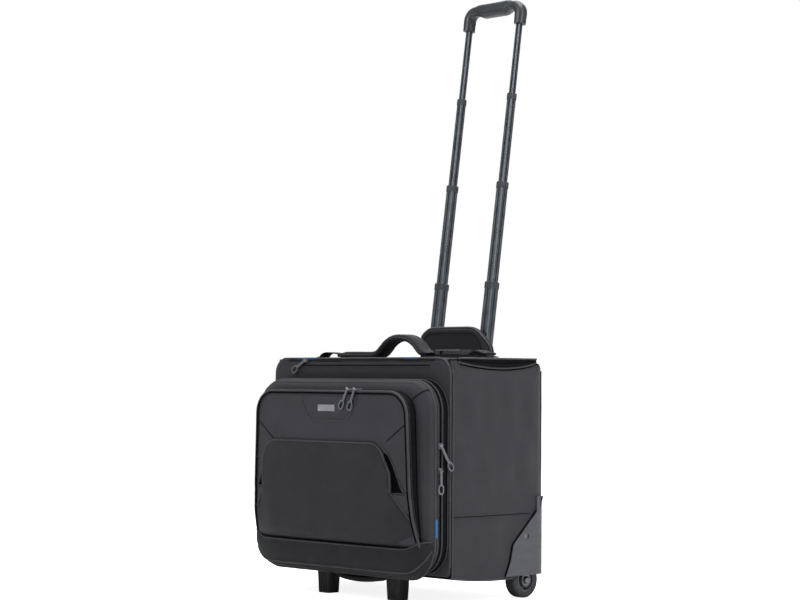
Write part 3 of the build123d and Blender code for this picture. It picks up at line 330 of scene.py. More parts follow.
# ---------------------------------------------------------------- mesh helpers
def make(name, points, faces, look, body, sharp=50.0):
    """Mesh piece of one look on one body; points in millimetres."""
    data = bpy.data.meshes.new(name)
    data.from_pydata([tuple(point) for point in np.asarray(points) * MM], [], faces)
    data.validate()
    data.polygons.foreach_set("use_smooth", [True] * len(data.polygons))
    slot, material = LOOKS[look]
    data.materials.append(material)
    piece = bpy.data.objects.new(name, data)
    bpy.context.scene.collection.objects.link(piece)
    turn_outward(data)
    data.set_sharp_from_angle(angle=radians(sharp))
    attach(piece, body)
    return piece


def turn_outward(data):
    """Makes every face of a closed mesh point out of it."""
    mesh = bmesh.new()
    mesh.from_mesh(data)
    bmesh.ops.recalc_face_normals(mesh, faces=mesh.faces)
    mesh.to_mesh(data)
    mesh.free()


def loft_data(loops, cyclic=False):
    """Points and faces of a skin through closed loops of equal length."""
    loops = [np.asarray(loop, float) for loop in loops]
    count = len(loops[0])
    points = np.concatenate(loops)
    faces = []
    for row in range(len(loops) if cyclic else len(loops) - 1):
        start, after = row * count, (row + 1) % len(loops) * count
        for k in range(count):
            following = (k + 1) % count
            faces.append((start + k, start + following, after + following, after + k))
    if not cyclic:
        for row, centre in ((0, loops[0].mean(0)), (len(loops) - 1, loops[-1].mean(0))):
            hub = len(points)
            points = np.vstack([points, centre])
            faces += [(row * count + k, row * count + (k + 1) % count, hub) for k in range(count)]
    return points, faces


def loft(name, loops, look, body, cyclic=False, sharp=50.0):
    """Skinned piece through closed loops, capped unless it runs round to its start."""
    return make(name, *loft_data(loops, cyclic), look, body, sharp)


def outline(shape, inset=0.0, step=9.0, arc=9):
    """Points round a polygon with rounded corners, counterclockwise, moved inwards by inset."""
    corners, radii = np.array(shape[0], float), shape[1]
    along = np.roll(corners, -1, 0) - corners
    lengths = np.linalg.norm(along, axis=1)
    along /= lengths[:, None]
    inward = np.stack([-along[:, 1], along[:, 0]], 1)
    bends = []
    for i, corner in enumerate(corners):
        before, after = along[i - 1], along[i]
        turn = atan2(before[0] * after[1] - before[1] * after[0], before @ after)
        tip = corner + (inward[i - 1] + inward[i]) * inset / (1 + inward[i - 1] @ inward[i])
        side = 1 if turn > 0 else -1
        radius = max(radii[i] - side * inset, 0.4)
        start = tip - before * radius * tan(abs(turn) / 2)
        centre = start + inward[i - 1] * radius * side
        spoke = start - centre
        for k in range(arc + 1):
            a = turn * k / arc
            turned = (spoke[0] * cos(a) - spoke[1] * sin(a), spoke[0] * sin(a) + spoke[1] * cos(a))
            bends.append(centre + turned)
    points = []
    for i in range(len(corners)):
        bend = bends[i * (arc + 1) : (i + 1) * (arc + 1)]
        onward = bends[(i + 1) * (arc + 1) % len(bends)]
        points += bend
        pieces = max(2, int(lengths[i] / step))
        points += [bend[-1] + (onward - bend[-1]) * k / pieces for k in range(1, pieces)]
    return np.array(points)


def up_over(shape, inset, step, foot):
    """Outline without its foot, from lower right over the top to lower left."""
    ring = outline(shape, inset, step)
    ring = ring[ring[:, 1] > foot]
    start = int(np.argmax(np.linalg.norm(ring - np.roll(ring, 1, 0), axis=1)))
    return np.roll(ring, -start, 0)


def facing(y):
    """Puts (across, up, towards the front) in the row frame, starting from depth y."""
    return lambda u, v, h: np.stack([u, y - h, v], -1)


def lying(z):
    """Puts (across, back, up) in the row frame, starting from height z."""
    return lambda u, v, h: np.stack([u, v, z + h], -1)


def hanging(z):
    """Puts (across, back, down) in the row frame, starting from height z."""
    return lambda u, v, h: np.stack([u, v, z - h], -1)


def on(place, ring, height):
    """Points of a flat ring or line put in the row frame by place, at one height or one for each."""
    return place(ring[:, 0], ring[:, 1], np.broadcast_to(height, len(ring)))


def constant(value):
    """The same height everywhere."""
    return lambda u, v: np.full_like(u, value)


def arch(ring, level, centre_z):
    """The part of a ring above a level, from left over the top to right as seen from centre_z."""
    kept = ring[ring[:, 1] > level]
    return kept[np.argsort(-np.arctan2(kept[:, 1] - centre_z, kept[:, 0]))]


def ripple(seed, amplitude, shortest=35.0, longest=110.0):
    """Smooth uneven height over a panel, the same on every run."""
    random = np.random.default_rng(seed)
    waves = [
        (random.uniform(0, 2 * pi), 2 * pi / random.uniform(shortest, longest), random.uniform(0, 2 * pi))
        for _ in range(7)
    ]

    def height(u, v):
        return amplitude * sum(
            np.sin((u * cos(way) + v * sin(way)) * turn + start) for way, turn, start in waves
        ) / len(waves)

    return height


def uneven(thickness, seed, amplitude):
    """Thickness of a flat pad with a smooth ripple over it."""
    wave = ripple(seed, amplitude)
    return lambda u, v: thickness + wave(u, v)


def cushion_loops(shape, place, height, rim, edge, hollow=None, base=None, step=9.0, rings=15):
    """Closed loops of a crowned panel: rounded edge from rim height up to its face, flat or hollow behind."""
    base = base or constant(0.0)
    middle = outline(shape, edge, step).mean(0)

    def ring(points, rise, lower=0.0):
        u, v = points[:, 0], points[:, 1]
        low = rim(u, v)
        return place(u, v, base(u, v) + low + (height(u, v) - low) * rise - lower)

    def face(inset, lower):
        field = outline(shape, inset, step)
        return [ring(middle + (field - middle) * (k + 0.35) / rings, 1.0, lower) for k in range(rings)]

    turns = [k * pi / 2 / 6 for k in range(6, -1, -1)]
    front = face(edge, 0.0)
    front += [ring(outline(shape, edge * (1 - cos(a)), step), sin(a)) for a in turns]
    flat = outline(shape, 0.0, step)
    back_rim = place(flat[:, 0], flat[:, 1], base(flat[:, 0], flat[:, 1]))
    if hollow is None:
        inner = outline(shape, min(edge, 4.0), step)
        rows = [back_rim]
        for k in range(6, 0, -1):
            points = middle + (inner - middle) * (k - 0.6) / 6
            rows.append(place(points[:, 0], points[:, 1], base(points[:, 0], points[:, 1])))
        return front + rows
    inner = outline(shape, hollow, step)
    rows = [back_rim, place(inner[:, 0], inner[:, 1], base(inner[:, 0], inner[:, 1]))]
    rows += [ring(outline(shape, hollow + edge * (1 - cos(a)), step), sin(a), hollow) for a in turns[::-1]]
    return front + rows + face(edge + hollow, hollow)[::-1]


def cushion(name, shape, place, height, look, body, rim=None, edge=6.0, sharp=60.0, **options):
    """Crowned panel as a piece; its options are those of cushion_loops."""
    rim = rim or constant(0.0)
    return loft(name, cushion_loops(shape, place, height, rim, edge, **options), look, body, sharp=sharp)


def spline(points, count):
    """Smooth path of count points through the given ones."""
    points = np.asarray(points, float)
    n = len(points)
    spans = n - 1
    path = []
    for t in np.linspace(0, spans, count):
        i = min(int(t), spans - 1)
        f = t - i
        a, b, c, d = (points[min(max(i + k, 0), n - 1)] for k in (-1, 0, 1, 2))
        curved = (2 * a - 5 * b + 4 * c - d) * f**2 + (3 * b - a - 3 * c + d) * f**3
        path.append(0.5 * (2 * b + (c - a) * f + curved))
    return np.array(path)


def square_ways(path, closed):
    """For each point of a path, two directions square to it that turn as little as possible."""
    if closed:
        ahead = np.roll(path, -1, 0) - np.roll(path, 1, 0)
    else:
        ahead = np.gradient(path, axis=0)
    ahead /= np.maximum(np.linalg.norm(ahead, axis=1), 1e-9)[:, None]
    side = np.cross(ahead[0], (0.1, 1.0, 0.3))
    sides = []
    for way in ahead:
        side = side - way * (side @ way)
        side /= np.linalg.norm(side)
        sides.append(side.copy())
    return np.array(sides), np.cross(ahead, sides)


def tube(name, path, radius, look, body, closed=False, sides=8):
    """Round cord along a path."""
    path = np.asarray(path, float)
    one, two = square_ways(path, closed)
    angles = np.linspace(0, 2 * pi, sides, endpoint=False)
    loops = [
        point + radius * (np.outer(np.cos(angles), one[k]) + np.outer(np.sin(angles), two[k]))
        for k, point in enumerate(path)
    ]
    return loft(name, loops, look, body, cyclic=closed)


def unit_steps(line):
    """Direction along a flat line at each of its points."""
    ahead = np.gradient(line, axis=0)
    return ahead / np.linalg.norm(ahead, axis=1)[:, None]


def strap(name, points, width, thickness, look, body, seam_y, count=40, ends=None):
    """Flat band with soft edges that follows points (across, up) at one depth."""
    line = spline(points, count)
    ahead = unit_steps(line)
    angles = np.linspace(0, 2 * pi, 16, endpoint=False)
    loops = []
    for k, (x, z) in enumerate(line):
        share = k / (count - 1)
        wide, thick = (width, thickness) if ends is None else ends(share)
        flat = np.sign(np.cos(angles)) * np.abs(np.cos(angles)) ** 0.35 * wide / 2
        high = np.sign(np.sin(angles)) * np.abs(np.sin(angles)) ** 0.55 * thick / 2
        normal = np.array([-ahead[k][1], ahead[k][0]])
        loops.append(np.stack([x + normal[0] * high, seam_y + flat, z + normal[1] * high], -1))
    return loft(name, loops, look, body)


def row_of(name, path, pitch, size, look, body, outward, closed=False):
    """Row of small rounded blocks along a path: stitches or zip teeth; size is along, across, high."""
    path = np.asarray(path, float)
    if closed:
        path = np.vstack([path, path[:1]])
    reach = np.concatenate([[0], np.cumsum(np.linalg.norm(np.diff(path, axis=0), axis=1))])
    spots = np.arange(pitch / 2, reach[-1], pitch)
    centres = np.stack([np.interp(spots, reach, path[:, k]) for k in range(3)], -1)
    nearby = np.stack([np.interp(spots + 0.2, reach, path[:, k]) for k in range(3)], -1)
    points, faces = [], []
    half = np.array(size) / 2
    stations = ((-1.0, 0.45), (-0.6, 1.0), (0.6, 1.0), (1.0, 0.45))
    around = [(cos(a), sin(a)) for a in (pi / 6 + k * pi / 3 for k in range(6))]
    for centre, near in zip(centres, nearby):
        ahead = near - centre
        ahead /= max(np.linalg.norm(ahead), 1e-9)
        up = np.array(outward(centre), float)
        up -= ahead * (up @ ahead)
        up /= np.linalg.norm(up)
        across = np.cross(ahead, up)
        first = len(points)
        for along, girth in stations:
            for a, b in around:
                spoke = across * a * half[1] + up * b * half[2]
                points.append(centre + ahead * along * half[0] + girth * spoke)
        for row in range(3):
            for k in range(6):
                low, high = first + row * 6, first + (row + 1) * 6
                faces.append((low + k, low + (k + 1) % 6, high + (k + 1) % 6, high + k))
        faces.append(tuple(first + k for k in range(6)))
        faces.append(tuple(first + 18 + k for k in range(6)))
    return make(name, points, faces, look, body)


def toward_front(centre):
    return (0.0, -1.0, 0.0)


def upward(centre):
    return (0.0, 0.0, 1.0)


def downward(centre):
    return (0.0, 0.0, -1.0)


def sideways(centre):
    return (np.sign(centre[0]), 0.0, 0.0)


def stitches(name, path, body, outward=toward_front, closed=False):
    """Lockstitch thread along a seam."""
    return row_of(name, path, 3.4, (2.5, 0.75, 0.7), "thread", body, outward, closed)


def ring_band(name, shape, profile, y, look, body):
    """Band round an outline; profile points are (inset, towards the front), joined end to end."""
    loops = []
    for inset, ahead in profile:
        loops.append(on(facing(y), outline(shape, inset), ahead))
    return loft(name, loops, look, body, cyclic=True, sharp=40)


def rectangle(low_x, low_z, high_x, high_z, *radii):
    """Rounded rectangle; one radius, or four from the lower left counterclockwise."""
    corners = [(low_x, low_z), (high_x, low_z), (high_x, high_z), (low_x, high_z)]
    return corners, list(radii) * 4 if len(radii) == 1 else list(radii)


def smooth(value, low, high):
    """0 below low, 1 above high, with an S-shaped rise between them."""
    t = np.clip((np.asarray(value, float) - low) / (high - low), 0, 1)
    return t * t * (3 - 2 * t)


# ---------------------------------------------------------------- case body
CORNER_R = 28.0
SHELL_T = 3.6
CREASE_Z = 142.0


def case_shell():
    """Side panels and back as one padded skin, with soft bulges, a crease and the hump over the tubes."""
    front = WALL_BACK_Y + 0.6
    turn_x, turn_y = HALF_W - CORNER_R, BACK_Y - CORNER_R
    quarter = np.linspace(0, pi / 2, 10)
    turn = [(turn_x + CORNER_R * cos(a), turn_y + CORNER_R * sin(a)) for a in quarter]
    right = [(HALF_W, y) for y in np.linspace(front, turn_y, 30)[:-1]] + turn
    back = [(x, BACK_Y) for x in np.linspace(turn_x, -turn_x, 58)[1:-1]]
    plan = np.array(right + back + [(-x, y) for x, y in right[::-1]])
    ahead = unit_steps(plan)
    outward = np.stack([ahead[:, 1], -ahead[:, 0]], 1)
    x, y = plan[:, 0], plan[:, 1]
    lid_run = np.clip((y - LID_LOW[1]) / (LID_HIGH[1] - LID_LOW[1]), 0, 1)
    dip = np.where(y < LID_LOW[1], 396.5, 391.6 - 3.0 * np.sin(pi * lid_run) ** 0.8)
    behind = smooth(y, LID_HIGH[1], BACK_Y)
    top = np.where(y > LID_HIGH[1], 392.0 - 14 * behind, dip)
    top = np.where(np.abs(x) < turn_x, 378 + 12.5 * smooth(turn_x - np.abs(x), 0, 50), top)
    sag = np.sin(pi * np.clip((y - front) / (BACK_Y - front), 0, 1)) ** 0.9
    low = np.where(np.abs(x) > turn_x - 2, FLOOR_Z + 0.5 - 8.0 * sag, FLOOR_Z + 0.5)
    low = np.where(y > WELLS_LOW[1] - 6, np.maximum(low, FLOOR_Z - 2), low)
    ripples = ripple(3, 1.3, 60, 160)
    flank = np.clip((y - front) / (turn_y - front), 0, 1)
    on_side = (np.abs(x) > HALF_W - 1).astype(float)
    hump = (1 - smooth(np.abs(x), HOUSING_HIGH[0] - 12, HOUSING_HIGH[0] + 44)) * (y > BACK_Y - 1)
    rows = []
    for t in np.linspace(0, 1, 56):
        z = low + (top - low) * t
        over = smooth(z, 150, 210) * (1 - smooth(z, 350, 392))
        under = smooth(z, 60, 80) * (1 - smooth(z, 120, CREASE_Z)) * (1 - smooth(y, CASE_Y - 20, CASE_Y + 20))
        crease = np.exp(-(((z - CREASE_Z) / 4.5) ** 2)) * (1 - smooth(y, CASE_Y + 70, CASE_Y + 95))
        push = on_side * np.sin(pi * flank) ** 0.7 * (3.4 * over + 3.0 * under)
        push -= on_side * 2.6 * crease
        push -= 3.4 * smooth(z, top - 16, top) * on_side
        push += ripples(x + 1.7 * y, z) * (over + 0.4 * on_side * under)
        rise = np.clip((z - HOUSING_LOW[2]) / (HOUSING_HIGH[2] - HOUSING_LOW[2]), 0, 1) ** 0.9
        push += (HOUSING_HIGH[1] - BACK_Y) * rise * hump
        rows.append(np.column_stack([x + outward[:, 0] * push, y + outward[:, 1] * push, z]))
    grid = np.array(rows)
    inner = grid.copy()
    inner[:, :, :2] -= outward[None] * SHELL_T
    count = len(plan)
    points = np.concatenate([grid.reshape(-1, 3), inner.reshape(-1, 3)])
    shift = len(points) // 2
    numbers = np.arange(len(rows) * count).reshape(len(rows), count)
    faces = []
    for row, following in zip(numbers.tolist(), numbers[1:].tolist()):
        for a, b, c, d in zip(row, row[1:], following[1:], following):
            faces += [(a, b, c, d), (a + shift, b + shift, c + shift, d + shift)]
    for edge in (numbers[0], numbers[-1], numbers[:, 0], numbers[:, -1]):
        edge = edge.tolist()
        faces += [(a, b, b + shift, a + shift) for a, b in zip(edge, edge[1:])]
    shell = make("case_shell", points, faces, "side", "case", sharp=45)
    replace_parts(shell, "side_panel_left", "side_panel_right", "rear_panel", "handle_housing")
    return grid, plan, outward


shell_grid, shell_plan, shell_outward = case_shell()
shell_count = len(shell_plan)


def shell_edge(row, lift, raise_z):
    """Path along the whole skin on one row of its grid."""
    line = shell_grid[row].copy()
    line[:, :2] += shell_outward * lift
    line[:, 2] += raise_z
    return line


def on_shell(columns, levels, lift):
    """Points on the skin at given heights, one for each column of its grid."""
    points = []
    for column, level in zip(columns, np.broadcast_to(levels, len(columns))):
        heights = shell_grid[:, column, 2]
        point = [np.interp(level, heights, shell_grid[:, column, axis]) for axis in (0, 1)]
        points.append((*(point + shell_outward[column] * lift), level))
    return np.array(points)


def shell_upright(column, first, lift):
    """Path up the skin on one column of its grid, from its row first."""
    line = shell_grid[first:, column].copy()
    line[:, :2] += shell_outward[column] * lift
    return line


# Near-black cord on the shell's top edge: painted shadow line under the lid's flaps.
tube("case_top_shadow_piping", shell_edge(-1, -SHELL_T / 2, 0.4), 2.0, "gusset", "case")
tube("case_foot_piping", shell_edge(0, -0.6, -0.2), 1.8, "piping", "case")
for label, column in (("right", 34), ("left", shell_count - 35)):
    tube(f"rear_corner_piping_{label}", shell_upright(column, 0, 0.3), 1.9, "gusset", "case")
for label, column in (("right", 0), ("left", shell_count - 1)):
    seam = shell_upright(column, 1, 0.25)
    seam[:, 1] += 7.0
    stitches(f"side_front_stitches_{label}", seam, "case", sideways)
for label, first, last in (("right", 0, 28), ("left", shell_count - 28, shell_count)):
    crease = on_shell(range(first, last), CREASE_Z, -0.1)
    # Near-black cord in each side crease: painted shade.
    tube(f"side_crease_{label}", crease, 0.75, "gusset", "case", sides=6)
    stitches(f"side_crease_stitches_{label}", crease + (0, 0, 4.0), "case", sideways)


FLAP_FOOT, FLAP_DROP, FLAP_TOP = 394.0, 10.2, 400.0


def flap_foot(y):
    """Lower edge of the lid's side flap at a depth: a shallow curve, lowest just behind its middle."""
    t = np.clip((y - LID_LOW[1]) / (LID_HIGH[1] - LID_LOW[1]), 0, 1)
    return FLAP_FOOT - FLAP_DROP * np.sin(pi * t**1.15) ** 0.7


def flap_shadow_strip():
    """Painted shadow under the flaps of the lid: a near-black strip on the side panels' rims."""
    for label, side in SIDES:
        on_flank = (shell_plan[:, 0] * side > HALF_W - 1) & (shell_plan[:, 1] > LID_LOW[1])
        columns = np.flatnonzero(on_flank)
        depths = shell_plan[columns, 1]
        high = np.minimum(shell_grid[-1, columns, 2], 391.0)
        low = np.minimum(flap_foot(depths) - 3.4, high - 0.6)
        corners = ((low, 0.1), (low, 0.5), (high, 0.5), (high, 0.1))
        rows = [on_shell(columns, level, lift) for level, lift in corners]
        loft(f"flap_shadow_strip_{label}", np.stack(rows, 1), "dark", "case", sharp=35)


flap_shadow_strip()


def belly():
    """Fabric underside that sags between the edges of the base."""
    front, wells, rear = WALL_BACK_Y + 2, WELLS_LOW[1] - 4, BACK_Y - 5
    right = [(208, front), (208, wells), (163, wells), (163, rear)]
    left = [(-x, y) for x, y in right]
    shape = (left[:1] + right + left[:0:-1], [6, 6, 6, 3, 10, 10, 3, 6])
    span = BACK_Y - front

    def sag(u, v):
        along = np.sin(pi * np.clip((v - front) / span, 0, 1)) ** 0.9
        return 1.0 + 7.6 * along * (0.75 + 0.25 * np.cos(pi * u / 430)) + ripple(8, 0.8)(u, v)

    piece = cushion("base_belly", shape, hanging(FLOOR_Z + 1.5), sag, "side", "case", edge=5)
    return piece


belly()


def top_strips():
    """Soft strips at the rim, in front of the lid and behind it."""
    front = rectangle(-207, WALL_BACK_Y + 1, 207, LID_LOW[1] - 1.0, 3)
    rear = rectangle(-183, LID_HIGH[1] + 1.0, 183, BACK_Y - 9, 3)
    strip = cushion(
        "rim_strip_front", front, lying(STRIPS_HIGH[2] - 6.5), uneven(5.6, 4, 0.5), "panel", "case", edge=3
    )
    cushion("rim_strip_rear", rear, lying(STRIPS_LOW[2] + 0.5), uneven(5.2, 5, 0.5), "panel", "case", edge=3)
    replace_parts(strip, "top_strips")


top_strips()


def guard():
    """D-shaped padded shield bent round the front of the tubes, with piped edge and sewn border."""
    shape = rectangle(GUARD_LOW[0] + 1, GUARD_LOW[2], GUARD_HIGH[0] - 1, GUARD_HIGH[2] - 1, 2, 2, 41, 41)
    wrap = GUARD_HIGH[1] - GUARD_LOW[1] - 9

    def bent(u, v, h):
        back = wrap * np.clip((np.abs(u) - 72) / 12, 0, 1) ** 2.2
        return np.stack([u, GUARD_LOW[1] + 7 + back - h, v], -1)

    def height(u, v):
        return 7.4 + 1.8 * np.cos(pi * u / 190) + ripple(6, 0.7)(u, v)

    pad = cushion("guard_pad", shape, bent, height, "padded", "case", edge=5, step=4)
    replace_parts(pad, "guard")
    rim = arch(outline(shape, -0.3, 6), GUARD_LOW[2] + 1.5, GUARD_LOW[2])
    tube("guard_piping_front", on(bent, rim, 5.0), 1.9, "grey_piping", "case")
    tube("guard_piping_back", on(bent, rim, -0.5), 1.5, "piping", "case")
    border = arch(outline(shape, 9.0, 6), GUARD_LOW[2] + 12, GUARD_LOW[2])
    sewn = on(bent, border, height(*border.T) + 0.15)
    # Near-black cord along the sewn border: painted shade in its channel.
    tube("guard_border_channel_shade", sewn - (0, 0.25, 0), 0.55, "dark", "case", sides=6)
    stitches("guard_border_stitches", sewn - (0, 0.6, 0), "case")


guard()


def bottom_handle():
    """Padded belly strap between the feet."""
    y = (BELLY_LOW[1] + BELLY_HIGH[1]) / 2
    low = BELLY_LOW[2] + 4.0
    half = [(66, FLOOR_Z - 1), (46, low + 4.2), (24, low + 1.0)]
    points = [(-x, z) for x, z in half] + [(0, low)] + half[::-1]
    piece = strap("bottom_handle_pad", points, 27, 8.4, "padded", "case", y)
    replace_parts(piece, "bottom_grab_handle")
    line = spline(points, 60)
    for label, side in (("front", -9.5), ("back", 9.5)):
        stitches(f"bottom_handle_stitches_{label}", on(facing(y), line - (0, 4.0), -side), "case", downward)


bottom_handle()


def bumper_shadows():
    """Dark gap where the fabric runs in under the sloping edge of each bumper."""
    low, high = BUMPER_LOW[2], BUMPER_HIGH[2]
    edge = [(14, low), (25, low + 24), (32, low + 52), (100, low + 115), (106, high)]
    line = np.array([(CASE_Y + back, z) for back, z in edge])
    path = np.concatenate([np.linspace(a, b, 8)[:-1] for a, b in zip(line, line[1:])] + [line[-1:]])
    for label, side in SIDES:
        points = [(side * (HALF_W + 1.2), y - 0.6, z + 0.4) for y, z in path]
        tube(f"bumper_shadow_{label}", points, 1.2, "dark", "case", sides=6)


bumper_shadows()


def foot_ribs():
    """Upright ribs on the four faces of each standing foot, which widens upwards."""
    z = 3 + np.linspace(0, 1, 8) * (FLOOR_Z - 8)
    taper, widening = 0.875 + 0.125 * z / FLOOR_Z, 2.0 * z / FLOOR_Z + 0.1
    faces = (("front", (0, -1)), ("back", (0, 1)), ("inner", (-1, 0)), ("outer", (1, 0)))
    for label, side in SIDES:
        middle = np.array([side * (FEET_HIGH[0] - 16), (FEET_LOW[1] + FEET_HIGH[1]) / 2])
        for k in range(5):
            shift = (k - 2) * 5.0 * taper
            for face, (to_x, to_y) in faces:
                x = middle[0] + (shift if to_y else to_x * (14.0 + widening))
                y = middle[1] + (0.85 * shift if to_x else to_y * (13.0 + widening))
                path = np.column_stack([x, y, z])
                tube(f"foot_rib_{label}_{face}_{k}", path, 1.0, "dark_plastic", "case")


foot_ribs()


def linings():
    """Padded divider behind the laptop and the liner in front of the tubes."""
    shape = rectangle(DIVIDER_LOW[0], DIVIDER_LOW[2], DIVIDER_HIGH[0], DIVIDER_HIGH[2], 3, 3, 20, 20)
    thickness = DIVIDER_HIGH[1] - DIVIDER_LOW[1]
    middle = DIVIDER_HIGH[1] - 0.6
    pile = uneven(thickness - 1.2, 9, 0.9)
    wall = cushion("divider_pad", shape, facing(middle), pile, "lining", "case", edge=4)
    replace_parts(wall, "divider")
    rim = on(facing(middle), outline(shape), thickness / 2 - 0.6)
    tube("divider_piping", rim, 1.6, "piping", "case", closed=True)
    half, narrow = LINER_HIGH[0] - 0.5, WELLS_HIGH[0] - 46
    low, high, step_z = LINER_LOW[2] + 0.5, LINER_HIGH[2] - 0.5, WELLS_HIGH[2] + 3
    right = [(narrow, low), (narrow, step_z), (half, step_z), (half, high)]
    left = [(-x, z) for x, z in right]
    liner_shape = (left[:1] + right + left[:0:-1], [2, 2, 2, 2, 12, 12, 2, 2])
    slope = LEAN.y / LEAN.z
    foot_y = LINER_LOW[1] + 0.3

    def leaning(u, v, h):
        return np.stack([u, foot_y + 2.4 + (v - LINER_LOW[2]) * slope - h, v], -1)

    pile = uneven(2.2, 10, 0.7)
    liner = cushion("back_liner_panel", liner_shape, leaning, pile, "lining", "case", edge=2)
    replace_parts(liner, "back_liner")


linings()


# ---------------------------------------------------------------- laptop front
WALL_SHAPE = rectangle(-HALF_W, WALL_LOW[2], HALF_W, RIM_Z, 8, 8, 26, 26)


def wall_height(u, v):
    """Thickness of the front wall: flat behind the organizer, padded along its top."""
    upper = smooth(v, 362, 376) * (1 - smooth(v, 388, 399))
    return 4.2 + 2.2 * upper * (1 - (u / 232) ** 6) + ripple(11, 1.0)(u, v) * upper


def laptop_front():
    """Front wall with its piping, sewn top seam and corner stitches, and the piped edge of the case round it.
    """
    place = facing(WALL_BACK_Y)
    wall = cushion(
        "laptop_front_panel", WALL_SHAPE, place, wall_height, "panel", "laptop_front", edge=4.5, step=8
    )
    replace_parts(wall, "front_wall")
    rim = on(place, up_over(WALL_SHAPE, 0.2, 9, FLOOR_Z + 12), 2.8)
    tube("laptop_front_piping", rim, 2.1, "piping", "laptop_front")
    mouth = rectangle(-HALF_W, FLOOR_Z, HALF_W, RIM_Z - 2, 6, 6, 26, 26)
    edge = on(facing(WALL_BACK_Y + 3.4), outline(mouth, 0.2), 0.0)
    tube("case_front_piping", edge, 2.1, "piping", "case", closed=True)
    groove_shade = on(facing(WALL_BACK_Y + 0.2), outline(mouth, 1.2), 0.0)
    tube("case_front_shadow", groove_shade, 1.6, "dark", "case", closed=True)

    def on_wall(line, lift):
        return on(place, line, wall_height(*line.T) + lift)

    seam, below = (np.column_stack([np.linspace(-150, 172, 60), np.full(60, z)]) for z in (388.5, 385.2))
    # Near-black cord along the top seam: painted shade in its groove.
    tube("laptop_front_seam_shade", on_wall(seam, 0.1), 0.8, "dark", "laptop_front", sides=6)
    stitches("laptop_front_stitches", on_wall(below, 0.2), "laptop_front")
    inner = outline(WALL_SHAPE, 8)
    inner = inner[(inner[:, 1] > 368) & (np.abs(inner[:, 0]) > 180)]
    for label, side in SIDES:
        part = inner[inner[:, 0] * side > 0]
        part = part[np.argsort(part[:, 1] - side * 0.6 * part[:, 0])]
        stitches(f"laptop_front_corner_stitches_{label}", on_wall(part, 0.2), "laptop_front")


def laptop_zip():
    """Coil zip on the top edge, with its tape and blue trims."""
    z = (LAPTOP_ZIP_LOW[2] + LAPTOP_ZIP_HIGH[2]) / 2
    ends = (LAPTOP_ZIP_LOW[0], LAPTOP_ZIP_HIGH[0])
    tape_shape = rectangle(ends[0], LAPTOP_ZIP_LOW[2] + 0.2, ends[1], LAPTOP_ZIP_HIGH[2] - 0.2, 0.6)
    tape = cushion(
        "laptop_zip_tape", tape_shape, facing(FRONT_Y + 0.4), constant(1.2), "tape", "laptop_front",
        edge=0.5, rings=2,
    )
    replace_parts(tape, "laptop_zip")
    line = np.column_stack([np.linspace(*ends, 40), np.full(40, LAPTOP_ZIP_LOW[1] + 0.1), np.full(40, z)])
    row_of("laptop_zip_teeth", line, 1.9, (1.2, 2.4, 1.5), "teeth", "laptop_front", toward_front)
    for label, start, end in (("left", -160, -106), ("right", 110, 142)):
        shape = rectangle(start, RIM_Z - 2.0, end, RIM_Z + 0.7, 1.0)
        trim = cushion(
            f"blue_trim_{label}", shape, facing(FRONT_Y - 0.2), constant(2.4), "blue", "laptop_front",
            edge=1.0, rings=3,
        )
        if label == "left":
            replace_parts(trim, "zip_end_tabs")


laptop_front()
laptop_zip()

ORGANIZER_R = 50.0
ORGANIZER_Z = (COVER_LOW[2] + COVER_HIGH[2]) / 2
ORGANIZER_SHAPE = rectangle(COVER_LOW[0], COVER_LOW[2], COVER_HIGH[0], COVER_HIGH[2], ORGANIZER_R)


def organizer_outward(centre):
    """Outward from the organizer: sideways on its flanks, up or down on its ends."""
    x, z = centre[0] / COVER_HIGH[0], (centre[2] - ORGANIZER_Z) / (COVER_HIGH[2] - ORGANIZER_Z)
    return (x * abs(x) ** 7, 0.0, z * abs(z) ** 7)


def organizer_band():
    """Gusset, zip tape and teeth round the organizer."""
    depth = FRONT_Y - GUSSET_LOW[1]
    outer = [(0.5, 0.2), (-0.2, depth * 0.25), (-0.5, depth * 0.5), (-0.2, depth * 0.75), (0.4, depth)]
    inner = [(3.0, depth), (2.4, depth * 0.5), (3.0, 0.2)]
    section = outer + inner
    gusset = ring_band("organizer_gusset_band", ORGANIZER_SHAPE, section, FRONT_Y, "gusset", "laptop_front")
    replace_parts(gusset, "organizer_gusset")
    tape_profile = [(0.9, 0.0), (0.1, 0.3), (0.1, 2.0), (0.9, 2.4), (4.5, 2.4), (4.5, 0.0)]
    tape = ring_band("organizer_zip_tape", ORGANIZER_SHAPE, tape_profile, ZIP_HIGH[1], "tape", "laptop_front")
    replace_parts(tape, "organizer_zip")
    rim = outline(ORGANIZER_SHAPE, -0.15, 6)
    middle = on(facing((ZIP_LOW[1] + ZIP_HIGH[1]) / 2), rim, 0.0)
    size = (1.3, 2.3, 1.1)
    row_of("organizer_zip_teeth", middle, 2.1, size, "teeth", "laptop_front", organizer_outward, closed=True)
    cords = (
        ("piping_inner", FRONT_Y - 1.2, 1.7, "piping"), ("piping_zip", GUSSET_LOW[1] + 4.8, 1.9, "piping"),
        ("shadow_inner", FRONT_Y - 3.6, 1.1, "dark"), ("shadow_zip", GUSSET_LOW[1] + 7.6, 1.1, "dark"),
        ("shadow_rim", GUSSET_LOW[1] + 2.4, 1.0, "dark"),
    )
    for label, y, radius, look in cords:
        tube(f"gusset_{label}", on(facing(y), rim, 0.0), radius, look, "laptop_front", closed=True)


organizer_band()


# ---------------------------------------------------------------- organizer cover
COVER_RIM, COVER_EDGE = 8.5, 24.0
COVER_FACE = COVER_HIGH[1] - COVER_LOW[1] - 0.2
cover_place = facing(COVER_HIGH[1])


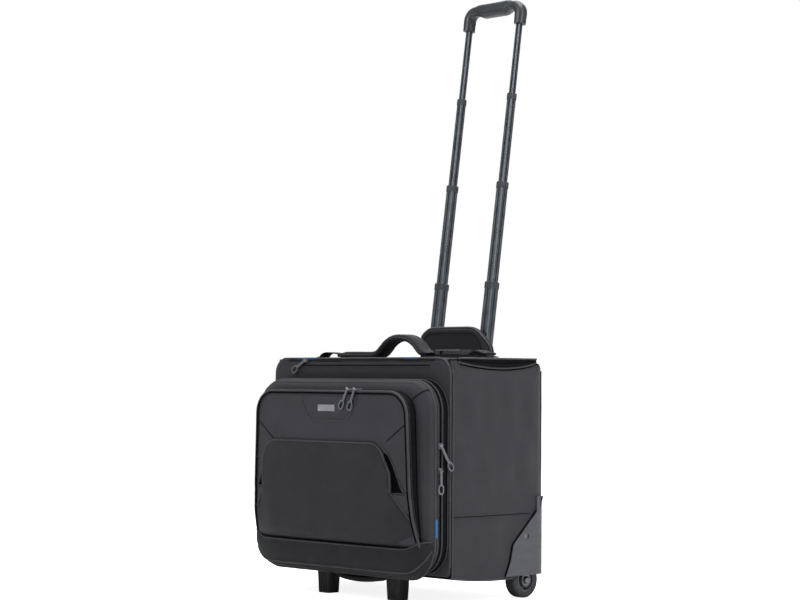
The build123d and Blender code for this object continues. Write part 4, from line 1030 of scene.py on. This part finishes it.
def cover_surface(u, v, lift):
    """Point on the cover's rounded edge or face, by its distance in from the outline."""
    x = np.abs(u) - (COVER_HIGH[0] - ORGANIZER_R)
    z = np.where(v > ORGANIZER_Z, v - (COVER_HIGH[2] - ORGANIZER_R), (COVER_LOW[2] + ORGANIZER_R) - v)
    corner = (x > 0) & (z > 0)
    inset = ORGANIZER_R - np.where(corner, np.hypot(x, z), np.maximum(x, z))
    share = np.clip(1 - inset / COVER_EDGE, 0, 1)
    rise = np.sqrt(1 - share**2)
    return cover_place(u, v, COVER_RIM + (COVER_FACE - COVER_RIM) * rise + lift)


def organizer_cover():
    """Crowned tray with a piped rim, corner darts drawn as near-black cords of painted shade, and
    topstitching.
    """
    cover = cushion(
        "organizer_cover_shell", ORGANIZER_SHAPE, cover_place, constant(COVER_FACE), "panel", "organizer",
        rim=constant(COVER_RIM), edge=COVER_EDGE, hollow=2.5, step=8,
    )
    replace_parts(cover, "organizer_cover")
    rim = outline(ORGANIZER_SHAPE, 0.2, 6)
    for label, height, radius in (("rim", COVER_RIM - 1.6, 2.1), ("zip", 1.2, 1.5)):
        path = on(cover_place, rim, height)
        tube(f"organizer_{label}_piping", path, radius, "piping", "organizer", closed=True)
    above_band = POCKET_LOW[2] + 12
    sewn = arch(outline(ORGANIZER_SHAPE, 4.5, 6), above_band, above_band)
    stitches("organizer_rim_stitches", on(cover_surface, sewn, 0.2), "organizer")
    for label, side in SIDES:
        along = np.linspace(0, 1, 16)
        x, z = side * (172 + 27 * along), 329 + 20 * along
        # Near-black cord: painted shade along the dart.
        tube(f"organizer_corner_dart_shade_{label}", cover_surface(x, z, -0.1), 0.8, "dark", "organizer", sides=6)
        beside = cover_surface(x + side * 1.6, z - 2.4, 0.2)
        stitches(f"organizer_dart_stitches_{label}", beside, "organizer")


organizer_cover()


def bottom_band():
    """Thick band round the organizer's foot, with a piped upper seam and double lower piping."""
    half, round_end = COVER_HIGH[0] - 0.4, 13.0
    turn = np.linspace(0, pi / 2, 9)
    right = [(half - round_end + round_end * sin(a), 1 - cos(a)) for a in turn]
    stations = [(x, 0.0) for x in np.linspace(0, half - round_end, 40)[:-1]] + right
    stations = [(-x, fall) for x, fall in stations[:0:-1]] + stations
    edge = COVER_HIGH[1] - COVER_RIM - 1.0
    wave = ripple(12, 0.9)
    loops = []
    for x, fall in stations:
        share = abs(x) / half
        reach = max(0.0, abs(x) - (COVER_HIGH[0] - ORGANIZER_R))
        foot = COVER_LOW[2] - 7.5 + ORGANIZER_R - np.sqrt(max(ORGANIZER_R**2 - reach**2, 0))
        top = POCKET_LOW[2] - 1.2 + 13 * float(smooth(share, 0.8, 1.0))
        front = COVER_LOW[1] - 0.8 - 16.0 * (1 - share**6)
        face = front + round_end * fall
        section = []
        for t in np.linspace(0, 1, 15):
            bulge = max(0.0, 1 - t**3.4) ** 0.5
            y = edge + (face - edge) * bulge - 1.2 * sin(pi * min(t * 1.4, 1)) * (1 - fall)
            ripples = wave(np.array(x), np.array(t * 50)) * (1 - share)
            section.append((x, y - ripples, top + (foot - top) * t))
        section += [(x, edge + 3, foot + 0.2), (x, edge + 3, top - 0.5)]
        loops.append(section)
    band = loft("bottom_band_pad", loops, "band", "organizer", sharp=60)
    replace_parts(band, "bottom_band")
    across = np.array(loops)
    seam, low_line, foot_line = across[:, 0], across[:, 11], across[:, 14]
    tube("band_seam_piping", seam + (0, -0.1, -1.0), 1.2, "piping", "organizer")
    stitches("band_seam_stitches", seam[6:-6] + (0, -0.75, -4.2), "organizer")
    tube("band_lower_piping", low_line + (0, -0.3, -0.2), 1.5, "piping", "organizer")
    tube("band_foot_piping", foot_line + (0, -1.0, -0.6), 1.8, "piping", "organizer")


bottom_band()


def side_tag():
    """Folded woven tag sewn into the organizer's rim."""
    x, y = TAG_HIGH[0] + 0.6, (TAG_LOW[1] + TAG_HIGH[1]) / 2
    fold = [(-2.4, 2.6), (-0.6, 2.3), (0.5, 0), (0.6, -2.4), (-0.4, -2.8), (-2.4, -2.6)]
    ring = spline(fold, 24) + (x, y)
    loops = [np.column_stack([ring, np.full(24, z)]) for z in np.linspace(TAG_LOW[2], TAG_HIGH[2], 9)]
    tag = loft("side_tag_loop", loops, "tag", "organizer")
    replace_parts(tag, "side_tag")


side_tag()


# ---------------------------------------------------------------- front pocket
POCKET_BACK = POCKET_HIGH[1]
POCKET_DEPTH = POCKET_HIGH[1] - POCKET_LOW[1]
POCKET_TOP = POCKET_HIGH[2]
POCKET_TOP_X = 184.0
FOOT_Z = POCKET_LOW[2]
pocket_place = facing(POCKET_BACK)
POCKET_SHAPE = (
    [
        (-198, FOOT_Z), (201, FOOT_Z), (191.5, 176), (POCKET_TOP_X, POCKET_TOP), (-POCKET_TOP_X, POCKET_TOP),
        (-190, 176),
    ],
    [2, 2, 120, 40, 40, 120],
)


def pocket_rim(u, v):
    """Depth of the pocket's side wall, which tapers to its foot."""
    return np.interp(v, [FOOT_Z, 110, 140, 185, 268, POCKET_TOP], [0.8, 6.5, 13.5, 16.8, 17.4, 18.5])


def pocket_height(u, v):
    """Depth of the pocket's crowned face."""
    low = pocket_rim(u, v)
    levels = [FOOT_Z, FOOT_Z + 2.5, FOOT_Z + 6, 108, 130, 165, 300, POCKET_TOP]
    crown = np.interp(v, levels, [8.5, 13.5, 17.0, 19.0, 21.2, POCKET_DEPTH, POCKET_DEPTH, 21.6])
    half = np.interp(v, [FOOT_Z, 140, 185, POCKET_TOP], [206, 197, 192, POCKET_TOP_X])
    spread = 1 - np.clip(np.abs(u) / half, 0, 1) ** 5
    return low + (crown - low) * spread + ripple(14, 0.55)(u, v) * spread


def pocket_surface(u, v, lift):
    return pocket_place(u, v, pocket_height(u, v) + lift)


def in_pocket(u, v):
    """Just under the pocket's face, where the pieces sewn on it start."""
    return pocket_height(u, v) - 1.2


def pocket_outward(x, z):
    """Outward from the pocket: sideways on its flanks, up on its top."""
    return np.sign(x) * np.abs(x / POCKET_TOP_X) ** 9, (np.maximum(z - 200, 0) / (POCKET_TOP - 200)) ** 9


def front_pocket():
    """Crowned tray with piping round its face, a side wall up its sides and over its top, topstitching and
    darts.
    """
    tray = cushion(
        "front_pocket_shell", POCKET_SHAPE, pocket_place, pocket_height, "pocket", "front_pocket",
        rim=pocket_rim, edge=9, hollow=2.4, step=8, rings=22,
    )
    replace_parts(tray, "front_pocket_cover")
    over = up_over(POCKET_SHAPE, 0.4, 6, FOOT_Z + 2)
    edge = on(pocket_place, over, pocket_rim(*over.T) + 1.2)
    tube("pocket_face_piping", edge, 2.4, "piping", "front_pocket")
    # Near-black cord at the back of the pocket's rim: painted shadow where it meets the front.
    tube("pocket_back_shadow_cord", on(pocket_place, over, 1.4), 1.3, "dark", "front_pocket")
    inside = up_over(POCKET_SHAPE, 3.4, 6, FOOT_Z + 4)
    groove_shade = on(pocket_place, inside, pocket_rim(*inside.T) + 3.6)
    tube("pocket_face_shadow", groove_shade, 1.1, "dark", "front_pocket", sides=6)
    outer, inner = (up_over(POCKET_SHAPE, inset, 6, FOOT_Z + 2) for inset in (-0.2, 0.8))
    high = pocket_rim(*outer.T) - 1.0
    low = np.minimum(1.0, high * 0.5)
    corners = ((outer, low), (outer, high), (inner, high), (inner, low))
    wall = np.stack([on(pocket_place, ring, level) for ring, level in corners], 1)
    # Side wall in the gusset look: near-black as painted shade in the gap beside the organizer.
    loft("pocket_gusset_shaded", wall, "gusset", "front_pocket", sharp=35)
    sewn = up_over(POCKET_SHAPE, 6.5, 6, 264)
    stitches("pocket_face_stitches", on(pocket_surface, sewn, 0.1), "front_pocket")
    for label, side in SIDES:
        t = np.linspace(0, 1, 14)
        x, z = side * (180 - 40 * t), 292 - 28 * t
        # Near-black cord: painted shade along each dart.
        tube(f"pocket_dart_{label}", pocket_surface(x, z, -0.15), 0.8, "dark", "front_pocket", sides=6)
        stitches(f"pocket_dart_stitches_{label}", pocket_surface(x, z + 2.6, 0.2), "front_pocket")


def pocket_zip():
    """Zip tape and teeth up the pocket's side wall and over its top."""
    path = up_over(POCKET_SHAPE, -0.4, 6, FOOT_Z + 14)
    x, z = path.T
    middle = 0.84 * pocket_rim(x, z)
    half = np.minimum(2.8, 0.3 * middle)
    out = np.stack(pocket_outward(x, z), 1)
    steep = out / np.linalg.norm(out, axis=1)[:, None]
    section = ((0.0, -1), (0.8, -1), (0.8, 1), (0.0, 1), (-1.2, 1), (-1.2, -1))
    rings = [on(pocket_place, path + steep * rise, middle + half * side) for rise, side in section]
    tape = loft("pocket_zip_tape", np.stack(rings, 1), "tape", "front_pocket", sharp=35)
    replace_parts(tape, "pocket_zip")

    def outward(centre):
        across, up = pocket_outward(centre[0], centre[2])
        return across, 0.0, up

    lifted = on(pocket_place, path + 0.9 * out, middle)
    row_of("pocket_zip_teeth", lifted, 1.9, (1.2, 2.3, 0.9), "teeth", "front_pocket", outward)


front_pocket()
pocket_zip()

SLIP_SHAPE = (
    [
        (-189, FOOT_Z + 3), (195, FOOT_Z + 3), (191, 140), (153, 181), (151, 214), (124, 262), (-158, 262),
        (-169, 222), (-166, 181), (-185, 146),
    ],
    [3, 3, 6, 4, 12, 34, 36, 20, 4, 6],
)


def slip_pocket():
    """Open slip pocket: proud panel with a rolled arch over it."""

    def rise(u, v):
        flare = smooth(np.abs(u), 140, 188) * (1 - smooth(v, 150, 190))
        return 6.4 - 4.6 * flare - 4.4 * (1 - smooth(v, FOOT_Z, 118))

    panel = cushion(
        "slip_pocket_panel", SLIP_SHAPE, pocket_place, rise, "slip", "front_pocket",
        edge=6.0, base=in_pocket, step=7, rings=22,
    )
    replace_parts(panel, "slip_pocket")
    edge = on(pocket_surface, up_over(SLIP_SHAPE, 1.2, 5, 182), 2.5)
    tube("slip_arch_piping", edge, 1.9, "piping", "front_pocket")
    sewn = on(pocket_surface, up_over(SLIP_SHAPE, 7.0, 5, 190), 5.35)
    stitches("slip_arch_stitches", sewn, "front_pocket")


def slip_mouth(label, side, mouth, lip, waist, wide, flare_z):
    """Opening at one side of the slip pocket's waist, drawn as a near-black patch of painted shade, with its
    lip, a small gusset and two hems.
    """

    def mirrored(points):
        """The points on this side, counterclockwise on both."""
        placed = [(side * a, b) for a, b in points]
        return placed[::-1] if side > 0 else placed

    def cord(name, points, count, lift, radius):
        line = spline([(side * a, b) for a, b in points], count)
        tube(f"{name}_{label}", on(pocket_surface, line, lift), radius, "piping", "front_pocket")

    radii = [4, 12, 12, 3, 3, 8, 12, 6]
    shape = (mirrored(mouth), radii[::-1] if side > 0 else radii)
    # Near-black patch: painted shade inside the opening.
    cushion(
        f"slip_mouth_{label}", shape, pocket_place, constant(1.3), "dark", "front_pocket",
        edge=1.0, base=lambda u, v: pocket_height(u, v) - 0.9, step=5, rings=4,
    )
    cord("slip_mouth_piping", lip, 30, 0.5, 1.2)
    corners = mirrored([(wide - 1, 181), (wide, flare_z), (waist, 180.5)])
    cushion(
        f"slip_gusset_{label}", (corners, [3, 3, 3]), pocket_place, constant(3.2), "panel", "front_pocket",
        edge=1.6, base=in_pocket, step=5, rings=5,
    )
    between = (waist + wide) / 2
    cord("slip_gusset_hem", [(waist, 181), (between, 182), (wide - 3, 181.5)], 12, 1.9, 0.9)
    cord("slip_flare_piping", [(waist, 180), (between, 162), (wide, flare_z)], 20, 2.2, 1.4)


slip_pocket()
slip_mouth(
    "left", -1,
    [(140, 257), (158, 240), (171, 214), (178, 190), (184, 181), (164, 180), (163, 205), (154, 232)],
    [(138, 260), (157, 242), (170, 215), (177, 192), (183, 182)],
    waist=166, wide=184, flare_z=147,
)
slip_mouth(
    "right", 1,
    [(124, 257), (146, 240), (163, 214), (173, 190), (182, 181), (151, 180), (148, 205), (138, 232)],
    [(118, 262), (144, 244), (161, 216), (172, 192), (180, 182)],
    waist=153, wide=190, flare_z=141,
)


def badge_panel():
    """Raised panel behind the plate: a trapezoid hung from the pocket's top, piped round its foot."""
    shape = ([(-46, 296), (50, 296), (72, 337), (-72, 337)], [16, 16, 3, 3])
    cushion(
        "badge_panel", shape, pocket_place, constant(1.7), "pocket", "front_pocket",
        edge=1.5, base=in_pocket, step=6, rings=8,
    )

    def foot(inset, level, lift):
        """Path round the panel below a level, from left to right."""
        edge = outline(shape, inset, 4)
        edge = edge[edge[:, 1] < level]
        return on(pocket_surface, edge[np.argsort(edge[:, 0])], lift)

    tube("badge_panel_piping", foot(0.4, 335, 0.5), 1.1, "piping", "front_pocket")
    stitches("badge_panel_stitches", foot(4.0, 332, 0.55), "front_pocket")


badge_panel()


# ---------------------------------------------------------------- lid and carrying strap
def lid():
    """Padded lid with a piped, sewn edge."""
    shape = rectangle(LID_LOW[0], LID_LOW[1] + 0.5, LID_HIGH[0], LID_HIGH[1] - 0.5, 10)
    thickness = LID_HIGH[2] - LID_LOW[2]

    def height(u, v):
        return thickness - 0.4 - 1.2 * (np.abs(u) / 212) ** 4 + ripple(21, 0.5)(u, v)

    pad = cushion("lid_pad", shape, lying(LID_LOW[2]), height, "panel", "lid", edge=6, step=8, rings=18)
    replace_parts(pad, "lid_panel")
    rim = on(lying(LID_LOW[2]), outline(shape, 0.6, 7), 5.4)
    tube("lid_rim_piping", rim, 1.6, "piping", "lid", closed=True)
    sewn = outline(shape, 9, 7)
    lifted = on(lying(LID_LOW[2]), sewn, height(*sewn.T) + 0.15)
    stitches("lid_stitches", lifted, "lid", upward, closed=True)


def lid_flaps():
    """Rolled flap along each side of the lid, with cords at its foot, middle and top; the middle one is
    near-black, painted shade along its seam.
    """
    stations = np.linspace(LID_LOW[1] - 0.5, LID_HIGH[1] - 0.3, 46)
    angles = np.linspace(0, 2 * pi, 20, endpoint=False)
    for label, side in SIDES:
        loops, low_line, high_line, middle_line = [], [], [], []
        for y in stations:
            bottom = float(flap_foot(y))
            fall = (FLAP_FOOT - bottom) / FLAP_DROP
            middle, half = (bottom + FLAP_TOP) / 2, (FLAP_TOP - bottom) / 2
            thick = 1.8 + 1.5 * fall
            x = side * (211.3 + thick * np.cos(angles))
            loops.append(np.column_stack([x, np.full(20, y), middle + half * np.sin(angles)]))
            low_line.append((side * (211.8 + thick * 0.45), y, bottom + 0.3))
            middle_line.append((side * (211.4 + thick), y, middle + 1.0))
            high_line.append((side * (212.4 + thick * 0.35), y, FLAP_TOP + 0.2))
        loft(f"lid_flap_{label}", loops, "gusset", "lid")
        tube(f"lid_flap_lower_piping_{label}", low_line, 1.5, "piping", "lid")
        tube(f"lid_flap_middle_seam_shade_{label}", middle_line[2:-2], 0.7, "dark", "lid", sides=6)
        tube(f"lid_flap_upper_piping_{label}", high_line, 1.6, "piping", "lid")


lid()
lid_flaps()

STRAP_Y = (STRAP_LOW[1] + STRAP_HIGH[1]) / 2
STRAP_W = STRAP_HIGH[1] - STRAP_LOW[1]
ON_LID = LID_HIGH[2] + 1.0


def webbing(name, points, thickness=2.0):
    return strap(name, points, STRAP_W, thickness, "webbing", "lid", STRAP_Y)


def carrying_strap():
    """Webbing from anchor to anchor, with sewn boxes at the ends."""
    pad_left, pad_right = PAD_LOW[0], PAD_HIGH[0]
    buckle = (SOCKET_LOW[2] + SOCKET_HIGH[2]) / 2
    left = [(-213, ON_LID), (-206, ON_LID + 1), (-199, 409), (-190, 411.5), (-176, 411), (pad_left + 4, 409)]
    right = [(pad_right - 4, 410), (70, 410), (82, buckle), (SOCKET_LOW[0] + 4, buckle)]
    last = [(PLUG_HIGH[0] - 9, 409.4), (176, 409), (188, ON_LID + 3), (199, ON_LID + 1), (212, ON_LID)]
    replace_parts(webbing("strap_left", left), "grab_strap")
    webbing("strap_middle", right)
    webbing("strap_right", last)
    webbing("strap_rolled_end", [(172, 411), (181, 412.4), (190, 410.6), (199, 408.6), (206, 408)], 4.6)
    for label, start in (("left", -210), ("right", 196)):
        end, half = start + 12, 9.5
        box = [(start, -half), (end, -half), (end, half), (start, half), (start, -half), (end, half)]
        path = np.concatenate([np.linspace(a, b, 8) for a, b in zip(box, box[1:])]) + (0, STRAP_Y)
        stitches(f"strap_box_{label}", on(lying(ON_LID), path, 1.5), "lid", upward)


def padded_grip():
    """Padded grip round the strap, arched over its middle, piped and sewn along both edges."""
    pad_left, pad_right = PAD_LOW[0], PAD_HIGH[0]
    spine = [
        (pad_left, 406.6), (-128, 407.2), (-92, 406.8), (-68, 407.0), (-55, 410.2), (-45, 418),
        (-34, 427.5), (-19, 434.6), (0, 436.6), (19, 434.2), (34, 427), (44, 418),
        (52, 411.5), (pad_right, 408.2),
    ]

    def girth(share):
        """Width and thickness a share of the way along."""
        end = min(share, 1 - share)
        full = 12.4 if share < 0.4 else 11.6
        wide, thick = float(smooth(end, 0, 0.06)), float(smooth(end, 0, 0.08))
        return 30 * (0.78 + 0.22 * wide), full * (0.5 + 0.5 * thick)

    pad = strap("grab_pad_grip", spine, 30, 10.5, "padded", "lid", STRAP_Y, count=90, ends=girth)
    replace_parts(pad, "grab_pad")
    line = spline(spine, 120)[6:-6]
    ahead = unit_steps(line)
    normal = np.column_stack([-ahead[:, 1], ahead[:, 0]])
    for label, across in (("front", -1), ("back", 1)):
        sewn = on(facing(STRAP_Y), line + normal * 5.6, -across * 10.4)
        stitches(f"grab_pad_stitches_{label}", sewn, "lid", upward)
        edge = on(facing(STRAP_Y), line, -across * 14.9)
        tube(f"grab_pad_piping_{label}", edge, 1.2, "piping", "lid")


carrying_strap()
padded_grip()


# ---------------------------------------------------------------- handgrip
def along_handle(node):
    """Corners of a CAD node measured across, along and square to the leaning handle."""
    points = np.array([v.co for v in frame["nodes"][node].data.vertices]) / MM - (0, *TUBE_AXIS[1:])
    spans = np.column_stack([points[:, 0], points @ np.array(LEAN), points @ HANDLE_BACK])
    return spans.min(0), spans.max(0)


GRIP_LOW, GRIP_HIGH = along_handle("grip")
BUTTON_LOW, BUTTON_HIGH = along_handle("grip_button")
GRIP_TOP, GRIP_BEND = GRIP_HIGH[1], 16.0
BUTTON_GAP = 0.5
WELL_X = (BUTTON_LOW[0] - BUTTON_GAP, BUTTON_HIGH[0] + BUTTON_GAP)
WELL_DEEP = BUTTON_HIGH[2] + BUTTON_GAP
WELL_FLOOR = GRIP_TOP - 9.0
WALL = 0.1


def grip_path():
    """Stations from leg to leg over the bar: across, along, turn, half its height and half its depth."""
    leg_x = GRIP_HIGH[0] - 10.2
    bar_end = leg_x - GRIP_BEND
    well_edges = [WELL_X[0], WELL_X[0] + WALL, WELL_X[1] - WALL, WELL_X[1]]
    stations = []
    for x in sorted([*np.linspace(0, bar_end, 22), *well_edges]):
        thinner = float(smooth(x, 24, bar_end))
        half = 13.0 - 4.0 * thinner
        surface = GRIP_TOP - 2.6 * float(smooth(x, 36, bar_end))
        stations.append((x, surface - half, 0.0, half, 12.0 - 0.8 * thinner))
    leg_top = stations[-1][1] - GRIP_BEND
    for a in np.linspace(0, pi / 2, 9)[1:]:
        across, along = bar_end + GRIP_BEND * sin(a), leg_top + GRIP_BEND * cos(a)
        stations.append((across, along, a, 9.0 + 0.9 * sin(a), 11.2))
    for t in np.linspace(0, 1, 6)[1:]:
        along = leg_top + (GRIP_LOW[1] - leg_top) * t
        stations.append((leg_x, along, pi / 2, 9.9 - 0.5 * t, 11.2 - 0.4 * t))
    return [(-x, along, -a, half, deep) for x, along, a, half, deep in stations[:0:-1]] + stations


def grip_shell():
    """Handgrip: round legs over the tubes, a bar swelling at its middle and a well for the button."""
    turns = np.linspace(-pi / 2, pi / 2, 15)
    well_edges = [-WELL_DEEP, WALL - WELL_DEEP, WELL_DEEP - WALL, WELL_DEEP]
    loops = []
    for x, at, a, half, deep in grip_path():
        across = np.sort(np.concatenate([deep * np.sin(turns), well_edges]))
        rise = half * np.maximum(1 - np.abs(across / deep) ** 2.5, 0) ** 0.4
        upper = rise.copy()
        if WELL_X[0] < x < WELL_X[1]:
            upper[np.abs(across) < WELL_DEEP] = WELL_FLOOR - at
        deeps = np.concatenate([across, across[-2:0:-1]])
        lifts = np.concatenate([upper, -rise[-2:0:-1]])
        flat = np.array([x, at]) + lifts[:, None] * np.array([sin(a), cos(a)])
        place = np.outer(flat[:, 1], np.array(LEAN)) + np.outer(deeps, HANDLE_BACK)
        place[:, 0] += flat[:, 0]
        loops.append(place + (0, *TUBE_AXIS[1:]))
    shell = loft("grip_shell", loops, "grip", "stage_1", sharp=40)
    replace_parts(shell, "grip")


grip_shell()


# ---------------------------------------------------------------- materials on the CAD nodes that stay
KEPT = {
    "plastic": ["corner_bumpers", "hub_left", "hub_right"],
    "dark_plastic": ["wheel_wells", "feet", "tube_bracket", "socket_plate"],
    "board": ["base_board"],
    "rubber": ["tyre_left", "tyre_right"],
    "tube": ["outer_tubes", "stage_4_tubes", "stage_3_tubes", "stage_2_tubes", "stage_1_tubes"],
    "collar": ["stage_4_collars", "stage_3_collars", "stage_2_collars"],
    "steel": ["screws", "wheel_axles", "bearings_left", "bearings_right"],
    "buckle": ["buckle_socket", "buckle_plug"],
    "grip": ["grip_button"],
    "badge": ["badge_plate"],
    "zip_metal": [
        "laptop_slider", "laptop_pull",
        "organizer_slider_upper", "organizer_pull_upper", "organizer_slider_lower", "organizer_pull_lower",
        "pocket_slider_left", "pocket_pull_left", "pocket_slider_right", "pocket_pull_right",
    ],
}
for look, kept_nodes in KEPT.items():
    for node in kept_nodes:
        slots = frame["nodes"][node].data.materials
        slots.clear()
        slots.append(LOOKS[look][1])


# ---------------------------------------------------------------- floor, light and camera
def seen(tree, seen_value, other_value):
    """Strength of a backdrop where it is seen straight on, and where it only lights the case."""
    path = tree.nodes.new("ShaderNodeLightPath")
    switch = tree.nodes.new("ShaderNodeMapRange")
    tree.links.new(path.outputs["Is Camera Ray"], switch.inputs["Value"])
    switch.inputs["To Min"].default_value = other_value
    switch.inputs["To Max"].default_value = seen_value
    return switch.outputs[0]


def studio():
    """Pale floor that fades into pale air."""
    data = bpy.data.meshes.new("studio_floor")
    reach = 14.0
    corners = [(-reach, -reach, 0), (reach, -reach, 0), (reach, reach, 0), (-reach, reach, 0)]
    data.from_pydata(corners, [], [(0, 1, 2, 3)])
    paper = Shading("studio_paper", Roughness=0.9, Emission_Color=(1.0, 1.0, 1.0, 1.0))
    paper.tint((0.9, 0.9, 0.9), paper.ramp(paper.noise(3.0), 0.995, 1.005))
    paper.tree.links.new(seen(paper.tree, 0.86, 0.0), paper.shader.inputs["Emission Strength"])
    data.materials.append(paper.material)
    floor = bpy.data.objects.new("studio_floor", data)
    bpy.context.scene.collection.objects.link(floor)


def area_light(name, place, size, power):
    """Rectangular lamp turned towards the middle of the object."""
    light = bpy.data.lights.new(name, "AREA")
    light.shape = "RECTANGLE"
    light.size, light.size_y = size
    light.energy = power
    lamp = bpy.data.objects.new(name, light)
    bpy.context.scene.collection.objects.link(lamp)
    lamp.location = place
    lamp.rotation_euler = (LIT_POINT - Vector(place)).to_track_quat("-Z", "Y").to_euler()


LIT_POINT = Vector((0.0, 0.0, 0.35))

# Camera, in metres and radians: how it is turned round the case, how far off, aside and high it stands.
CAMERA_TURN = radians(46)
FORWARD = Vector((-sin(CAMERA_TURN), cos(CAMERA_TURN), 0))
RIGHTWARD = Vector((cos(CAMERA_TURN), sin(CAMERA_TURN), 0))
DISTANCE, ASIDE, EYE_Z = 3.6625, -0.01634, 0.36864
TILT_UP, ROLL = 0.0364, 0.006
FOCAL_LENGTH, SENSOR = 95.41, 36.0


def camera():
    """Camera nearly level with the top of the case, at its front right."""
    data = bpy.data.cameras.new("photo_camera")
    data.lens, data.sensor_width = FOCAL_LENGTH, SENSOR
    data.clip_end = 50.0
    lens = bpy.data.objects.new("photo_camera", data)
    bpy.context.scene.collection.objects.link(lens)
    middle = Vector((0, CASE_Y * MM, 0))
    lens.location = middle - FORWARD * DISTANCE + RIGHTWARD * ASIDE + Vector((0, 0, EYE_Z))
    ahead = FORWARD * cos(TILT_UP) + Vector((0, 0, sin(TILT_UP)))
    across = ahead.cross(Vector((0, 0, 1))).normalized()
    level = Matrix((across, across.cross(ahead), -ahead)).transposed()
    lens.rotation_euler = (level @ Matrix.Rotation(ROLL, 3, "Z")).to_euler()
    bpy.context.scene.camera = lens


studio()
camera()
area_light("key_right", (3.3, 0.5, 1.7), (1.4, 2.4), 47)
area_light("fill_front", (-1.0, -3.3, 2.3), (2.0, 1.4), 40)
area_light("top_soft", (0.2, 0.2, 3.2), (2.4, 2.4), 88)
area_light("back_rim", (-1.6, 2.6, 2.0), (1.6, 1.8), 30)
world = bpy.data.worlds.new("studio_air")
world.use_nodes = True
air = world.node_tree.nodes["Background"].inputs
air["Color"].default_value = (1.0, 1.0, 1.0, 1.0)
world.node_tree.links.new(seen(world.node_tree, 1.0, 0.24), air["Strength"])
bpy.context.scene.world = world
bpy.context.scene.view_settings.view_transform = "Standard"
